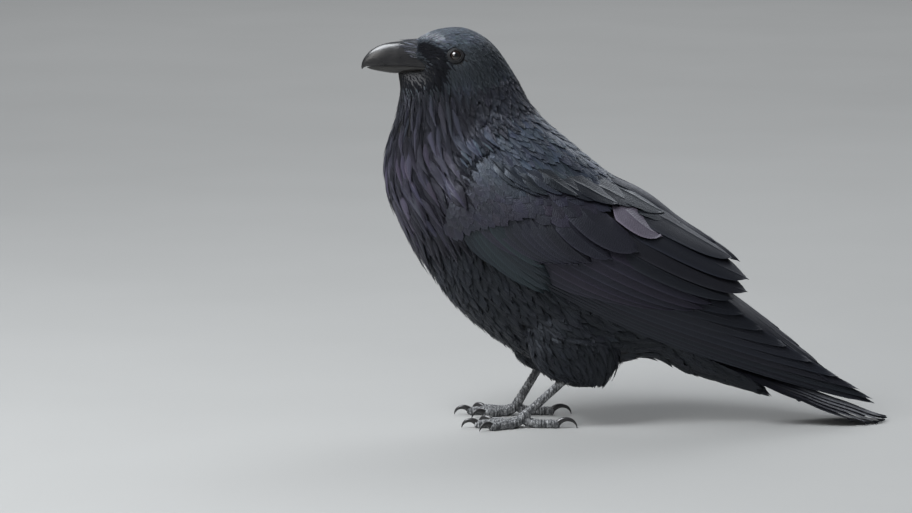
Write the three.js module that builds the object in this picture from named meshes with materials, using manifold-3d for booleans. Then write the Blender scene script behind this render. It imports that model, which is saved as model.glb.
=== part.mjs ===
// A common raven standing on level ground, at life size, as a still museum model.
// Millimetres. +Z is up, the bird faces -Y and its left side is +X. The origin is on the ground,
// under the middle of the bird's length. The feet and the tip of the tail rest on the ground.
import * as THREE from "three";
import { mergeVertices } from "three/addons/utils/BufferGeometryUtils.js";
import Module from "manifold-3d";

const wasm = await Module();
wasm.setup();

// ---------------------------------------------------------------- driving dimensions
const GAP = 0.35; // clearance left between neighbouring pieces
const BODY_SIDES = 20; // corners of a section through the body
const FINE_TO = 8; // up to this station, extra sections are drawn half way between stations

// Stations of the feathered body, from the face to the vent. Each is a flat section that runs from a point
// on the back to a point on the breast or belly: [y, z] of both, the half width, and how far the widest
// place lies towards the back, as a share of half the section's height.
const BODY = [
  { at: "edge of the face", back: [-203, 361], front: [-216, 334], half: 6, high: 0 },
  { at: "forehead and chin", back: [-193, 369.5], front: [-214, 319], half: 11, high: 0.1 },
  { at: "before the eye", back: [-176, 376], front: [-216, 304], half: 17, high: 0.2 },
  { at: "behind the eye", back: [-152, 376.5], front: [-219, 289], half: 23.2, high: 0.2 },
  { at: "ear", back: [-128, 363.5], front: [-224, 274], half: 27, high: 0.15 },
  { at: "nape and throat", back: [-108, 337], front: [-228, 258], half: 30, high: 0.1 },
  { at: "middle of the neck", back: [-90, 305], front: [-229, 240], half: 35, high: 0.08 },
  { at: "root of the neck", back: [-72, 285], front: [-226, 221], half: 42, high: 0.1 },
  { at: "top of the back", back: [-47, 264], front: [-219, 202], half: 49, high: 0.12 },
  { at: "shoulders", back: [-19, 238], front: [-207, 177.5], half: 51, high: 0.1 },
  { at: "breast", back: [4, 212], front: [-191, 149], half: 52, high: 0.05 },
  { at: "lower breast", back: [24, 188], front: [-166, 114], half: 52, high: 0 },
  { at: "belly", back: [41, 165], front: [-132, 84], half: 50, high: 0 },
  { at: "thighs", back: [57, 146], front: [-93, 61], half: 46, high: 0 },
  { at: "lower belly", back: [70, 130], front: [-50, 52], half: 41, high: 0 },
  { at: "vent", back: [79, 116], front: [-10, 55], half: 32, high: 0 },
  { at: "rump", back: [86, 104], front: [24, 60], half: 24, high: 0 },
  { at: "tail coverts", back: [98, 82], front: [62, 45], half: 18, high: 0 },
  { at: "end of the tail coverts", back: [124, 46], front: [116, 30], half: 6, high: 0 },
];
const NECK_FROM = 4.6; // station numbers where the head ends and the neck ends
const NECK_TO = 8.1;
// The face is drawn in beside the mouth, so that the bill lies bare as far back as the gape.
const GAPE = { y: -181, z: 337.5, tall: 9.5, fade: 15, depth: 0.66 };

// The bill: [y, z] of the ridge, [y, z] of the cutting edge, and the half width there.
const UPPER_BILL = [
  { ridge: [-250.4, 339.6], edge: [-249.8, 337.6], half: 0.7 },
  { ridge: [-249.4, 344.5], edge: [-247.6, 339.6], half: 1.9 },
  { ridge: [-246.4, 349.8], edge: [-244.5, 340.7], half: 3.1 },
  { ridge: [-239.8, 356.4], edge: [-239, 341.1], half: 4.8 },
  { ridge: [-230, 361.4], edge: [-230, 341.7], half: 6.7 },
  { ridge: [-218, 363.9], edge: [-218, 342], half: 8.5 },
  { ridge: [-205, 364.8], edge: [-205, 341.6], half: 10 },
  { ridge: [-191, 365], edge: [-192, 340.4], half: 11.2 },
  { ridge: [-178, 363], edge: [-178, 337], half: 11.6 },
];
const LOWER_BILL = [
  { ridge: [-244.8, 338.9], edge: [-245.1, 339.7], half: 0.7 },
  { ridge: [-241, 337.2], edge: [-241, 340.4], half: 2.5 },
  { ridge: [-230, 334.9], edge: [-230, 341.2], half: 4.9 },
  { ridge: [-218, 333.5], edge: [-218, 341.5], half: 6.8 },
  { ridge: [-205, 330.9], edge: [-205, 341.1], half: 8.6 },
  { ridge: [-192, 329.2], edge: [-192, 339.9], half: 10.1 },
  { ridge: [-178, 327.5], edge: [-178, 336.5], half: 10.8 },
];
const BRISTLE_TIP_Y = -213; // the bristles over the nostrils reach this far along the bill
const BRISTLE_DEPTH = 1.5;

const EYE = { y: -161.3, z: 351.2, x: 17.6, radius: 6.3 };

// The folded wing is drawn in its own side view: a runs from the wrist to the tip, and b is up across it.
const WING_ANGLE = THREE.MathUtils.degToRad(27); // how far the wing points down
const WRIST = { y: -165, z: 218 };
const WING_END = 452;
// Along the wing at each a: half the bird's width there, the b of that widest line, and the b of the back.
const FLANK = [
  { a: -20, wide: 38, line: 14, back: 122 },
  { a: 4, wide: 54, line: 15, back: 117 },
  { a: 28, wide: 61, line: 15, back: 109 },
  { a: 60, wide: 66.5, line: 16, back: 99.5 },
  { a: 100, wide: 70, line: 16, back: 91.5 },
  { a: 140, wide: 69, line: 15, back: 85 },
  { a: 170, wide: 66, line: 13.5, back: 82.5 },
  { a: 200, wide: 60, line: 12, back: 77 },
  { a: 230, wide: 52, line: 10, back: 74 },
  { a: 260, wide: 44, line: 8, back: 70 },
  { a: 290, wide: 36, line: 6, back: 59 },
  { a: 330, wide: 29, line: 4, back: 45 },
  { a: 400, wide: 19, line: 5, back: 31 },
  { a: 460, wide: 13, line: 6, back: 25 },
];
const WING_LOW = -46; // b of the lowest part of the wing
const BELLY_DROP = 0.0042; // how fast the flank curves in below its widest line, per mm
const BACK_FULLNESS = 2.3;

// Outlines of the feather groups of the folded wing, in [a, b], each lying over the next.
const SCAPULARS = [
  [8, 66], [22, 52], [40, 47], [62, 42], [74, 47], [88, 54], [112, 58], [144, 66], [172, 73], [203, 75],
  [206, 90], [160, 100], [100, 112], [56, 120], [18, 100],
];
const COVERTS = [
  [-8, 34], [-9, 16], [-3, -5], [12, -18], [38, -29], [68, -38], [98, -40.5], [115, -39], [110, -26],
  [116, -8], [128, 2], [140, 9], [152, 19], [165, 27], [176, 33], [183, 45], [193, 58], [199, 68], [203, 80],
  [150, 84], [100, 84], [40, 84], [4, 62],
];
const TERTIALS = [
  [120, 20], [176, 33.5], [202, 34.5], [229, 33.5], [255, 33.7], [276, 36], [287, 42], [290.5, 54],
  [282, 59.5], [269, 65], [251, 72], [227, 75.5], [208, 78], [160, 88], [120, 84],
];
const SECONDARIES = [
  [90, -14], [120, -22], [160, -18], [200, -10], [235, 0], [252, 7], [259, 14], [262, 21], [268, 27],
  [266, 34], [230, 50], [160, 50], [100, 30],
];
const PRIMARIES = [
  [92, -30], [104, -38], [144, -37], [179, -34], [202, -30], [241, -26], [291, -19], [340, -10], [390, -1],
  [426, 3.6], [443, 3], [450, 4.6], [446, 9.5], [434, 13.5], [418, 15.5], [385, 16.5], [348, 20], [317, 25],
  [286, 33], [250, 40], [120, 20],
];

// The tail: twelve feathers in a fan that slopes like a roof. Its ridge is seen from the side as [y, z].
const TAIL_LINE = [[34, 88], [100, 61], [170, 34], [214, 17.2], [250, 4], [270, 2]];
const TAIL_TIPS_Y = [250.4, 248, 242, 233, 217, 167]; // where each pair of feathers ends, from the middle out
const TAIL_SPREAD = THREE.MathUtils.degToRad(1.5); // turn from one feather to the next
const TAIL_FEATHER_HALF = 15.5;
const TAIL_EDGE_THICK = 1.5; // where only one feather lies
const TAIL_MIDDLE_THICK = 7; // over the root, where they all lie on each other
const TAIL_ROOF_DROP = 14; // how far the roof has dropped at TAIL_ROOF_HALF from the middle
const TAIL_ROOF_HALF = 40;
const TAIL_SHEET_HALF = 46;
const TAIL_SHEET_END_Y = 256;
const TAIL_ALONG = 12;
const TAIL_ACROSS = 4;

// The legs. side is +1 for the left one. The right leg stands more upright and a little further back.
const LEGS = [
  {
    name: "left", side: 1, ankle: [33, -50, 53], foot: [34, -98, 9.5], reach: 43,
    thigh: [
      { z: 125, y: -54, x: 20, long: 46, wide: 22 },
      { z: 100, y: -54, x: 26, long: 48, wide: 22 },
      { z: 76, y: -50, x: 29, long: 45, wide: 19.5 },
      { z: 60, y: -48, x: 31, long: 40, wide: 15.5 },
      { z: 49, y: -46, x: 32, long: 31, wide: 12.5 },
      { z: 43, y: -43, x: 32, long: 22, wide: 8.5 },
      { z: 39, y: -40, x: 32, long: 12, wide: 4.5 },
    ],
  },
  {
    name: "right", side: -1, ankle: [-31, -68, 69], foot: [-34, -103, 9.5], reach: 45,
    thigh: [
      { z: 125, y: -64, x: -20, long: 46, wide: 22 },
      { z: 100, y: -67, x: -26, long: 46, wide: 22 },
      { z: 78, y: -72, x: -29, long: 40, wide: 19.5 },
      { z: 64, y: -76, x: -31, long: 32, wide: 15.5 },
      { z: 54, y: -78, x: -31, long: 24, wide: 12.5 },
      { z: 48, y: -78, x: -31, long: 16, wide: 8.5 },
      { z: 44, y: -77, x: -31, long: 8, wide: 4.5 },
    ],
  },
];
const TARSUS_RADIUS = 4;
// Toes 1 (hind) to 4 (outer): turn outwards from straight ahead, length, and length of the claw's arc.
const TOES = [
  { turn: 176, long: 33, claw: 24 },
  { turn: -24, long: 32, claw: 17 },
  { turn: 2, long: 43, claw: 19 },
  { turn: 29, long: 34, claw: 16 },
];
const TOE_RADIUS = 4.4;

// ---------------------------------------------------------------- materials
const plumage = new THREE.MeshStandardMaterial({ color: 0x15161b, roughness: 0.45 });
const flightFeather = new THREE.MeshStandardMaterial({ color: 0x121318, roughness: 0.38 });
const billHorn = new THREE.MeshStandardMaterial({ color: 0x1c1c1e, roughness: 0.35 });
const bristle = new THREE.MeshStandardMaterial({ color: 0x141417, roughness: 0.6 });
const eyeBall = new THREE.MeshStandardMaterial({ color: 0x120c08, roughness: 0.08 });
const scaledSkin = new THREE.MeshStandardMaterial({ color: 0x2c2e30, roughness: 0.55 });
const clawHorn = new THREE.MeshStandardMaterial({ color: 0x17181a, roughness: 0.35 });

// ---------------------------------------------------------------- small tools
const smooth = (u) => u * u * (3 - 2 * u);
const clamp = (v, low, high) => Math.min(high, Math.max(low, v));

// The value at place t of a list of numbers, on a Catmull-Rom curve through them.
function between(values, t) {
  const i = clamp(Math.floor(t), 0, values.length - 2);
  const u = t - i;
  const p1 = values[i];
  const p2 = values[i + 1];
  const p0 = values[i - 1] ?? 2 * p1 - p2;
  const p3 = values[i + 2] ?? 2 * p2 - p1;
  return p1 + 0.5 * u * (p2 - p0 + u * (2 * p0 - 5 * p1 + 4 * p2 - p3 + u * (3 * (p1 - p2) + p3 - p0)));
}

// The value of y at x on a Catmull-Rom curve through [x, y] pairs, for x that grows along the list.
function curveAt(xs, ys, x) {
  let i = 0;
  while (i < xs.length - 2 && x > xs[i + 1]) i++;
  const u = clamp((x - xs[i]) / (xs[i + 1] - xs[i]), 0, 1);
  return between(ys, i + u);
}

// A closed body through rings with the same number of corners, capped at both ends.
function skinOver(rings) {
  const sides = rings[0].length;
  const points = rings.flat();
  const middle = (ring) =>
    ring.reduce((sum, p) => sum.add(p), new THREE.Vector3()).divideScalar(ring.length);
  const first = points.push(middle(rings[0])) - 1;
  const last = points.push(middle(rings[rings.length - 1])) - 1;
  const faces = [];
  for (let r = 0; r < rings.length - 1; r++) {
    for (let s = 0; s < sides; s++) {
      const a = r * sides + s;
      const b = r * sides + ((s + 1) % sides);
      faces.push(a, b, b + sides, a, b + sides, a + sides);
    }
  }
  const end = (rings.length - 1) * sides;
  for (let s = 0; s < sides; s++) {
    const next = (s + 1) % sides;
    faces.push(first, next, s, last, end + s, end + next);
  }
  return new THREE.BufferGeometry().setFromPoints(points).setIndex(faces);
}

// A manifold solid from a closed geometry, turned right side out.
function solid(geometry) {
  const bare = geometry.clone();
  bare.deleteAttribute("normal");
  bare.deleteAttribute("uv");
  const merged = mergeVertices(bare, 1e-4);
  const vertProperties = Float32Array.from(merged.attributes.position.array);
  const triVerts = Uint32Array.from(merged.index.array);
  const made = new wasm.Manifold(new wasm.Mesh({ numProp: 3, vertProperties, triVerts }));
  if (made.volume() > 0) return made;
  triVerts.reverse();
  return new wasm.Manifold(new wasm.Mesh({ numProp: 3, vertProperties, triVerts }));
}

// Cuts a list of solids away from one.
const without = (body, ...others) => others.reduce((left, other) => left.subtract(other), body);

// The largest connected piece of a solid: crumbs that a cut leaves are dropped.
function main(body) {
  const pieces = body.decompose();
  return pieces.reduce((best, piece) => (piece.volume() > best.volume() ? piece : best));
}

const raven = new THREE.Group();

function add(name, body, material) {
  const { numProp, vertProperties, triVerts } = main(body).getMesh();
  const points = [];
  for (let i = 0; i < vertProperties.length; i += numProp) points.push(...vertProperties.slice(i, i + 3));
  const geometry = new THREE.BufferGeometry();
  geometry.setAttribute("position", new THREE.Float32BufferAttribute(points, 3));
  geometry.setIndex([...triVerts]);
  geometry.computeVertexNormals();
  const mesh = new THREE.Mesh(geometry, material);
  mesh.name = name;
  raven.add(mesh);
}

// ---------------------------------------------------------------- head, neck and trunk
const bodyTable = {
  backY: BODY.map((s) => s.back[0]), backZ: BODY.map((s) => s.back[1]),
  frontY: BODY.map((s) => s.front[0]), frontZ: BODY.map((s) => s.front[1]),
  half: BODY.map((s) => s.half), high: BODY.map((s) => s.high),
};

// One section of the body at place t, counted in stations, grown outwards by grow.
function bodyRing(t, grow) {
  const at = (name) => between(bodyTable[name], t);
  const back = new THREE.Vector3(0, at("backY"), at("backZ"));
  const front = new THREE.Vector3(0, at("frontY"), at("frontZ"));
  const centre = back.clone().add(front).multiplyScalar(0.5);
  const up = back.clone().sub(front);
  const height = up.length() / 2 + grow;
  up.normalize();
  const wide = at("half") + grow;
  const ring = [];
  for (let s = 0; s < BODY_SIDES; s++) {
    const angle = (2 * Math.PI * s) / BODY_SIDES;
    const rise = Math.cos(angle) + at("high") * Math.sin(angle) ** 2;
    const corner = centre.clone().addScaledVector(up, height * rise);
    const ahead = smooth(clamp((GAPE.y - corner.y) / GAPE.fade, 0, 1));
    const drawnIn = GAPE.depth * ahead * Math.exp(-(((corner.z - GAPE.z) / GAPE.tall) ** 2));
    ring.push(corner.setX(wide * Math.sin(angle) * (1 - drawnIn)));
  }
  return ring;
}

// The sections stand at fixed places, so that stretches of the body and the room cut for them agree.
function bodyBetween(from, to, grow = 0) {
  const places = [from];
  for (let t = 0; t < to - 0.05; t += t < FINE_TO ? 0.5 : 1) {
    if (t > from + 0.05) places.push(t);
  }
  places.push(to);
  return solid(skinOver(places.map((t) => bodyRing(t, grow))));
}

const LAST = BODY.length - 1;
const PART_STEP = 0.024; // a thin cut between two stretches, in stations
const head = bodyBetween(0, NECK_FROM);
const neck = bodyBetween(NECK_FROM + PART_STEP, NECK_TO);
const trunk = bodyBetween(NECK_TO + PART_STEP, LAST);
const roomForHead = bodyBetween(-0.08, NECK_FROM, GAP);
const roomForBody = bodyBetween(NECK_FROM, LAST, GAP);

// ---------------------------------------------------------------- bill
// An arched section that stands on the cutting edge: flat there and round over the ridge.
function billRing({ ridge, edge, half }, grow, arch) {
  const steps = 8;
  const lift = ridge[1] > edge[1] ? 1 : -1;
  const ring = [];
  for (let i = 0; i <= steps; i++) {
    const angle = (Math.PI * i) / steps;
    const rise = Math.sin(angle) ** arch;
    const x = (half + grow) * Math.cos(angle);
    const y = edge[0] + (ridge[0] - edge[0]) * rise;
    const z = edge[1] - lift * grow + (ridge[1] - edge[1] + 2 * lift * grow) * rise;
    ring.push(new THREE.Vector3(x, y, z));
  }
  return ring;
}

const billSolid = (stations, grow = 0, arch = 0.8) => {
  const rings = stations.map((s) => billRing(s, grow, arch));
  if (grow) rings.unshift(rings[0].map((p) => p.clone().setY(p.y - grow)));
  return solid(skinOver(rings));
};
const EDGE_GAP = 0.25; // the shut bill's upper edge stands this far above the lower one
const raised = UPPER_BILL.map((s) => ({ ...s, edge: [s.edge[0], s.edge[1] + EDGE_GAP] }));
const upperBill = billSolid(raised);
const lowerBill = billSolid(LOWER_BILL).subtract(billSolid(raised, GAP));
const roomForUpper = billSolid(raised, GAP);

// The bristles form a sleeve over the upper bill that thins out towards its front edge.
const bristleStations = UPPER_BILL.filter((s) => s.ridge[0] > BRISTLE_TIP_Y - 8).map((s, i) => {
  const deep = i === 0 ? 0.45 : BRISTLE_DEPTH;
  const y = i === 0 ? BRISTLE_TIP_Y : s.ridge[0];
  return { ridge: [y, s.ridge[1] + deep], edge: [y, s.edge[1] + 3], half: s.half + deep };
});
const bristles = without(billSolid(bristleStations), roomForUpper, roomForHead);

add("bill_upper", upperBill.subtract(roomForHead), billHorn);
add("bill_lower", lowerBill.subtract(roomForHead), billHorn);
add("nasal_bristles", bristles, bristle);

// ---------------------------------------------------------------- eyes
let headWithSockets = head;
for (const [name, side] of [["left", 1], ["right", -1]]) {
  const place = new THREE.Matrix4().makeTranslation(side * EYE.x, EYE.y, EYE.z);
  const turn = new THREE.Matrix4().makeRotationZ((side * -Math.PI) / 2);
  const ball = (radius) => new THREE.SphereGeometry(radius, 11, 7).applyMatrix4(turn).applyMatrix4(place);
  headWithSockets = headWithSockets.subtract(solid(ball(EYE.radius + GAP)));
  add(`eye_${name}`, solid(ball(EYE.radius)), eyeBall);
}
add("head", headWithSockets, plumage);
add("neck", neck, plumage);

// ---------------------------------------------------------------- legs
// A tube of round sections through points, with a radius at each, that the ground cuts flat. turned is the
// place of the first corner of a section, in shares of a side.
function limb(points, radii, sides, turned = 0.5) {
  const rings = points.map((p, i) => {
    const before = points[Math.max(i - 1, 0)];
    const after = points[Math.min(i + 1, points.length - 1)];
    const along = after.clone().sub(before).normalize();
    const side = new THREE.Vector3(0, 0, 1).cross(along);
    if (side.length() < 0.2) side.set(1, 0, 0);
    side.normalize();
    const up = along.clone().cross(side).normalize();
    return Array.from({ length: sides }, (_, s) => {
      const angle = (2 * Math.PI * (s + turned)) / sides;
      const corner = p
        .clone()
        .addScaledVector(side, radii[i] * Math.cos(angle))
        .addScaledVector(up, radii[i] * Math.sin(angle));
      corner.z = Math.max(corner.z, 0);
      return corner;
    });
  });
  return solid(skinOver(rings));
}

function thighSolid(sections, grow = 0) {
  const sides = 12;
  const rings = sections.map((s) =>
    Array.from({ length: sides }, (_, k) => {
      const angle = (2 * Math.PI * k) / sides;
      return new THREE.Vector3(
        s.x + (s.wide + grow) * Math.cos(angle),
        s.y + (s.long + grow) * Math.sin(angle),
        s.z,
      );
    }),
  );
  return solid(skinOver(rings));
}

const vector = ([x, y, z]) => new THREE.Vector3(x, y, z);

// A tarsus runs from inside the thigh to the hub where the toes meet.
function tarsusSolid(leg, grow = 0) {
  const ankle = vector(leg.ankle);
  const foot = vector(leg.foot);
  const along = foot.clone().sub(ankle);
  const beyond = ankle.clone().addScaledVector(along, -0.12);
  const places = [0, 0.1, 0.25, 0.6, 0.85, 1];
  const radii = [4.2, 5.2, 4, TARSUS_RADIUS, TARSUS_RADIUS + 0.3, 5.2].map((r) => r + grow);
  const points = places.map((u) => ankle.clone().addScaledVector(along, u));
  return limb([beyond, ...points], [3.6 + grow, ...radii], 8);
}

// The line of one toe: from the hub down to the ground, then out along it.
function toeLine(leg, { turn, long }) {
  const bearing = THREE.MathUtils.degToRad(turn) * leg.side;
  const out = new THREE.Vector3(Math.sin(bearing), -Math.cos(bearing), 0);
  const reach = long * (leg.reach / 43);
  const shares = [0.02, 0.2, 0.4, 0.6, 0.8, 0.97, 1.05];
  const heights = [8.2, 5.4, 3.6, 3.5, 3.5, 3.4, 4.2];
  const points = shares.map((u, i) =>
    new THREE.Vector3(leg.foot[0], leg.foot[1], heights[i]).addScaledVector(out, reach * u),
  );
  return { points, out, end: points[5] };
}

const TOE_RADII = [1, 1, 1.04, 0.95, 1, 0.93, 0.5].map((share) => share * TOE_RADIUS);

// A claw springs up from the end of its toe and curls down to the ground.
function clawSolid({ out, end }, long) {
  const steps = 6;
  const sweep = THREE.MathUtils.degToRad(125);
  const radius = long / sweep;
  const start = THREE.MathUtils.degToRad(38);
  const points = [];
  const radii = [];
  const base = end.clone().addScaledVector(out, 1.8).setZ(5);
  for (let i = 0; i <= steps; i++) {
    const angle = start - (sweep * i) / steps;
    const along = radius * (Math.sin(start) - Math.sin(angle));
    const rise = radius * (Math.cos(angle) - Math.cos(start));
    const point = base.clone().addScaledVector(out, along);
    point.z = base.z + rise;
    points.push(point);
    radii.push(2.9 * (1 - i / steps) ** 0.8 + 0.35);
  }
  const lowest = Math.min(...points.map((p, i) => p.z - radii[i]));
  if (lowest < 0.1) points.forEach((p, i) => (p.z += ((0.1 - lowest) * i) / steps));
  return { body: limb(points, radii, 6), room: limb(points, radii.map((r) => r + GAP), 6) };
}

let roomForLegs = [];
const legPieces = [];
for (const leg of LEGS) {
  const tarsus = tarsusSolid(leg);
  const roomForTarsus = tarsusSolid(leg, GAP);
  roomForLegs.push(roomForTarsus);
  legPieces.push([`tarsus_${leg.name}`, tarsus]);
  const toeRooms = [];
  TOES.forEach((toe, i) => {
    const line = toeLine(leg, toe);
    const claw = clawSolid(line, toe.claw);
    const toeBody = without(limb(line.points, TOE_RADII, 6, 0), roomForTarsus, claw.room, ...toeRooms);
    toeRooms.push(limb(line.points, TOE_RADII.map((r) => r + GAP), 6, 0));
    legPieces.push([`toe_${leg.name}_${i + 1}`, toeBody]);
    legPieces.push([`claw_${leg.name}_${i + 1}`, claw.body]);
  });
}
for (const [name, body] of legPieces) add(name, body, name.startsWith("claw") ? clawHorn : scaledSkin);

const roomForThighs = LEGS.map((leg) => thighSolid(leg.thigh, GAP));
add("trunk", without(trunk, ...roomForThighs, ...roomForLegs), plumage);
LEGS.forEach((leg, i) => {
  const other = roomForThighs[1 - i];
  const cuts = i === 0 ? [roomForLegs[0]] : [roomForLegs[1], other];
  add(`thigh_${leg.name}`, without(thighSolid(leg.thigh), ...cuts), plumage);
});

// ---------------------------------------------------------------- wings
const flankTable = (name) => FLANK.map((s) => s[name]);
const flankA = flankTable("a");

// How far out the folded wing's surface stands from the bird's middle plane, at [a, b].
function flank(a, b) {
  const wide = curveAt(flankA, flankTable("wide"), a);
  const line = curveAt(flankA, flankTable("line"), a);
  const back = curveAt(flankA, flankTable("back"), a);
  if (b < line) return wide - BELLY_DROP * (line - b) ** 2 * (wide / 60);
  const up = clamp((b - line) / (back - line), 0, 1);
  return 1.5 + (wide - 1.5) * (1 - up ** BACK_FULLNESS);
}

const cosW = Math.cos(WING_ANGLE);
const sinW = Math.sin(WING_ANGLE);
const wingPoint = (x, a, b) =>
  new THREE.Vector3(x, WRIST.y + a * cosW + b * sinW, WRIST.z - a * sinW + b * cosW);

// A slab that follows the flank, sunk by deep at its outer face and thick(a) through.
function wingSlab(side, deep, thick) {
  const alongSteps = 13;
  const acrossSteps = 6;
  const rings = [];
  for (let i = 0; i <= alongSteps; i++) {
    const a = -16 + ((WING_END + 16) * i) / alongSteps;
    const top = curveAt(flankA, flankTable("back"), a);
    const outer = [];
    const inner = [];
    for (let j = 0; j <= acrossSteps; j++) {
      const b = WING_LOW + ((top - WING_LOW) * j) / acrossSteps;
      const x = Math.max(flank(a, b) - deep, 1.3);
      outer.push(wingPoint(side * x, a, b));
      inner.unshift(wingPoint(side * Math.max(x - thick(a), 0.3), a, b));
    }
    rings.push([...outer, ...inner]);
  }
  return solid(skinOver(rings));
}

// A prism across the wing over an outline in [a, b], grown by grow.
function wingPrism(outline, side, grow = 0) {
  const points = outline.map(([a, b]) => new THREE.Vector2(a, b));
  const grown = points.map((p, i) => {
    const before = points[(i + points.length - 1) % points.length];
    const after = points[(i + 1) % points.length];
    const run = after.clone().sub(before).normalize();
    return new THREE.Vector2(p.x + run.y * grow, p.y - run.x * grow);
  });
  const flat = new THREE.ExtrudeGeometry(new THREE.Shape(grown), { depth: 110, bevelEnabled: false });
  const frame = new THREE.Matrix4().makeBasis(
    new THREE.Vector3(0, cosW, -sinW),
    new THREE.Vector3(0, sinW, cosW),
    new THREE.Vector3(side, 0, 0),
  );
  frame.setPosition(0, WRIST.y, WRIST.z);
  return solid(flat.applyMatrix4(frame));
}

const blade = (atRoot, atTip) => (a) => atRoot + (atTip - atRoot) * smooth(clamp((a - 150) / 220, 0, 1));
const WING_GROUPS = [
  { name: "scapulars", outline: SCAPULARS, deep: -0.8, thick: () => 26, look: plumage },
  { name: "coverts", outline: COVERTS, deep: 0, thick: () => 34, look: plumage },
  { name: "tertials", outline: TERTIALS, deep: 0.6, thick: blade(22, 3), look: flightFeather },
  { name: "secondaries", outline: SECONDARIES, deep: 1.2, thick: blade(26, 3), look: flightFeather },
  { name: "primaries", outline: PRIMARIES, deep: 2, thick: blade(18, 3.4), look: flightFeather },
];

const wings = [];
for (const [word, side] of [["left", 1], ["right", -1]]) {
  const covered = [];
  for (const { name, outline, deep, thick, look } of WING_GROUPS) {
    const room = wingPrism(outline, side, GAP);
    const piece = without(
      wingSlab(side, deep, thick).intersect(wingPrism(outline, side)),
      ...covered,
      roomForBody,
      ...roomForThighs,
    );
    covered.push(room);
    wings.push(main(piece));
    add(`wing_${word}_${name}`, piece, look);
  }
}

// ---------------------------------------------------------------- tail
const tailY = TAIL_LINE.map((p) => p[0]);
const tailZ = TAIL_LINE.map((p) => p[1]);
const TAIL_ROOT_Y = tailY[0];
const ORIGIN = new THREE.Vector2(0, 0);

// Half the width of a tail feather at share u of its length: narrow root, parallel vane, round tip.
function vane(u) {
  const root = 0.3 + 0.7 * smooth(clamp(u / 0.4, 0, 1));
  const tip = u > 0.84 ? Math.sqrt(Math.max(1 - ((u - 0.84) / 0.16) ** 2, 0.02)) : 1;
  return TAIL_FEATHER_HALF * root * tip;
}
const VANE_PLACES = [0, 0.4, 0.84, 0.92, 0.97, 1];

// One tail feather seen from above, as a tall prism.
function tailFeather(pair, side) {
  const spread = side * (0.5 + pair) * TAIL_SPREAD;
  const long = (TAIL_TIPS_Y[pair] - TAIL_ROOT_Y) / Math.cos(spread);
  const edge = (hand) =>
    VANE_PLACES.map((u) => new THREE.Vector2(hand * vane(u), long * u).rotateAround(ORIGIN, -spread));
  const outline = [...edge(1), ...edge(-1).reverse()];
  const shape = new THREE.Shape(outline);
  const prism = new THREE.ExtrudeGeometry(shape, { depth: 100, bevelEnabled: false });
  return solid(prism.translate(side * (1 + 1.1 * pair), TAIL_ROOT_Y, -2));
}

// The sheet that the fan is cut from: a roof over the tail's length, thickest along the middle.
function tailSheet() {
  const rings = [];
  for (let i = 0; i <= TAIL_ALONG; i++) {
    const u = i / TAIL_ALONG;
    const y = TAIL_ROOT_Y + (TAIL_SHEET_END_Y - TAIL_ROOT_Y) * u;
    const top = [];
    const bottom = [];
    for (let j = -TAIL_ACROSS; j <= TAIL_ACROSS; j++) {
      const share = j / TAIL_ACROSS;
      const x = TAIL_SHEET_HALF * share;
      const drop = TAIL_ROOF_DROP * Math.abs(x / TAIL_ROOF_HALF) ** 1.6 * smooth(clamp(u * 1.6, 0, 1));
      const thick = TAIL_EDGE_THICK + (TAIL_MIDDLE_THICK - TAIL_EDGE_THICK) * (1 - Math.abs(share)) * (1 - u);
      const low = Math.max(curveAt(tailY, tailZ, y) - drop - thick, 0);
      bottom.push(new THREE.Vector3(x, y, low));
      top.unshift(new THREE.Vector3(x, y, low + thick));
    }
    rings.push([...bottom, ...top]);
  }
  return solid(skinOver(rings));
}

let tailFan = tailFeather(0, 1);
TAIL_TIPS_Y.forEach((_, pair) => {
  for (const side of [1, -1]) tailFan = tailFan.add(tailFeather(pair, side));
});
add("tail", without(tailSheet().intersect(tailFan), roomForBody), flightFeather);

export default raven;
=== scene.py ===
import math

import bpy
import numpy as np
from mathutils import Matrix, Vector, kdtree


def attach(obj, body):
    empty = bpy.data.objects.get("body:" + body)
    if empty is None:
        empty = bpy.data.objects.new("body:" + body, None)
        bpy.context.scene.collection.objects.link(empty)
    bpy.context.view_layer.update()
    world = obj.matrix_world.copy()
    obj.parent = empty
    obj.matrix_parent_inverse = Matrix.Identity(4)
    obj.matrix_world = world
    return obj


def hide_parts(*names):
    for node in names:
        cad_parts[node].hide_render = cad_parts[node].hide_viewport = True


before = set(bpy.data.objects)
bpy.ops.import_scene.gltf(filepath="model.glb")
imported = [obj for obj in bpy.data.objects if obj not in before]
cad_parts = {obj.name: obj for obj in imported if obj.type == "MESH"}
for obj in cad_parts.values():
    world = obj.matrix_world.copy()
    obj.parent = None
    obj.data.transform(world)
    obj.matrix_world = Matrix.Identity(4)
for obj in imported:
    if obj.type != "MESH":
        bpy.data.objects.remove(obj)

MM = 0.001
TURN = 2 * math.pi
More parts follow.
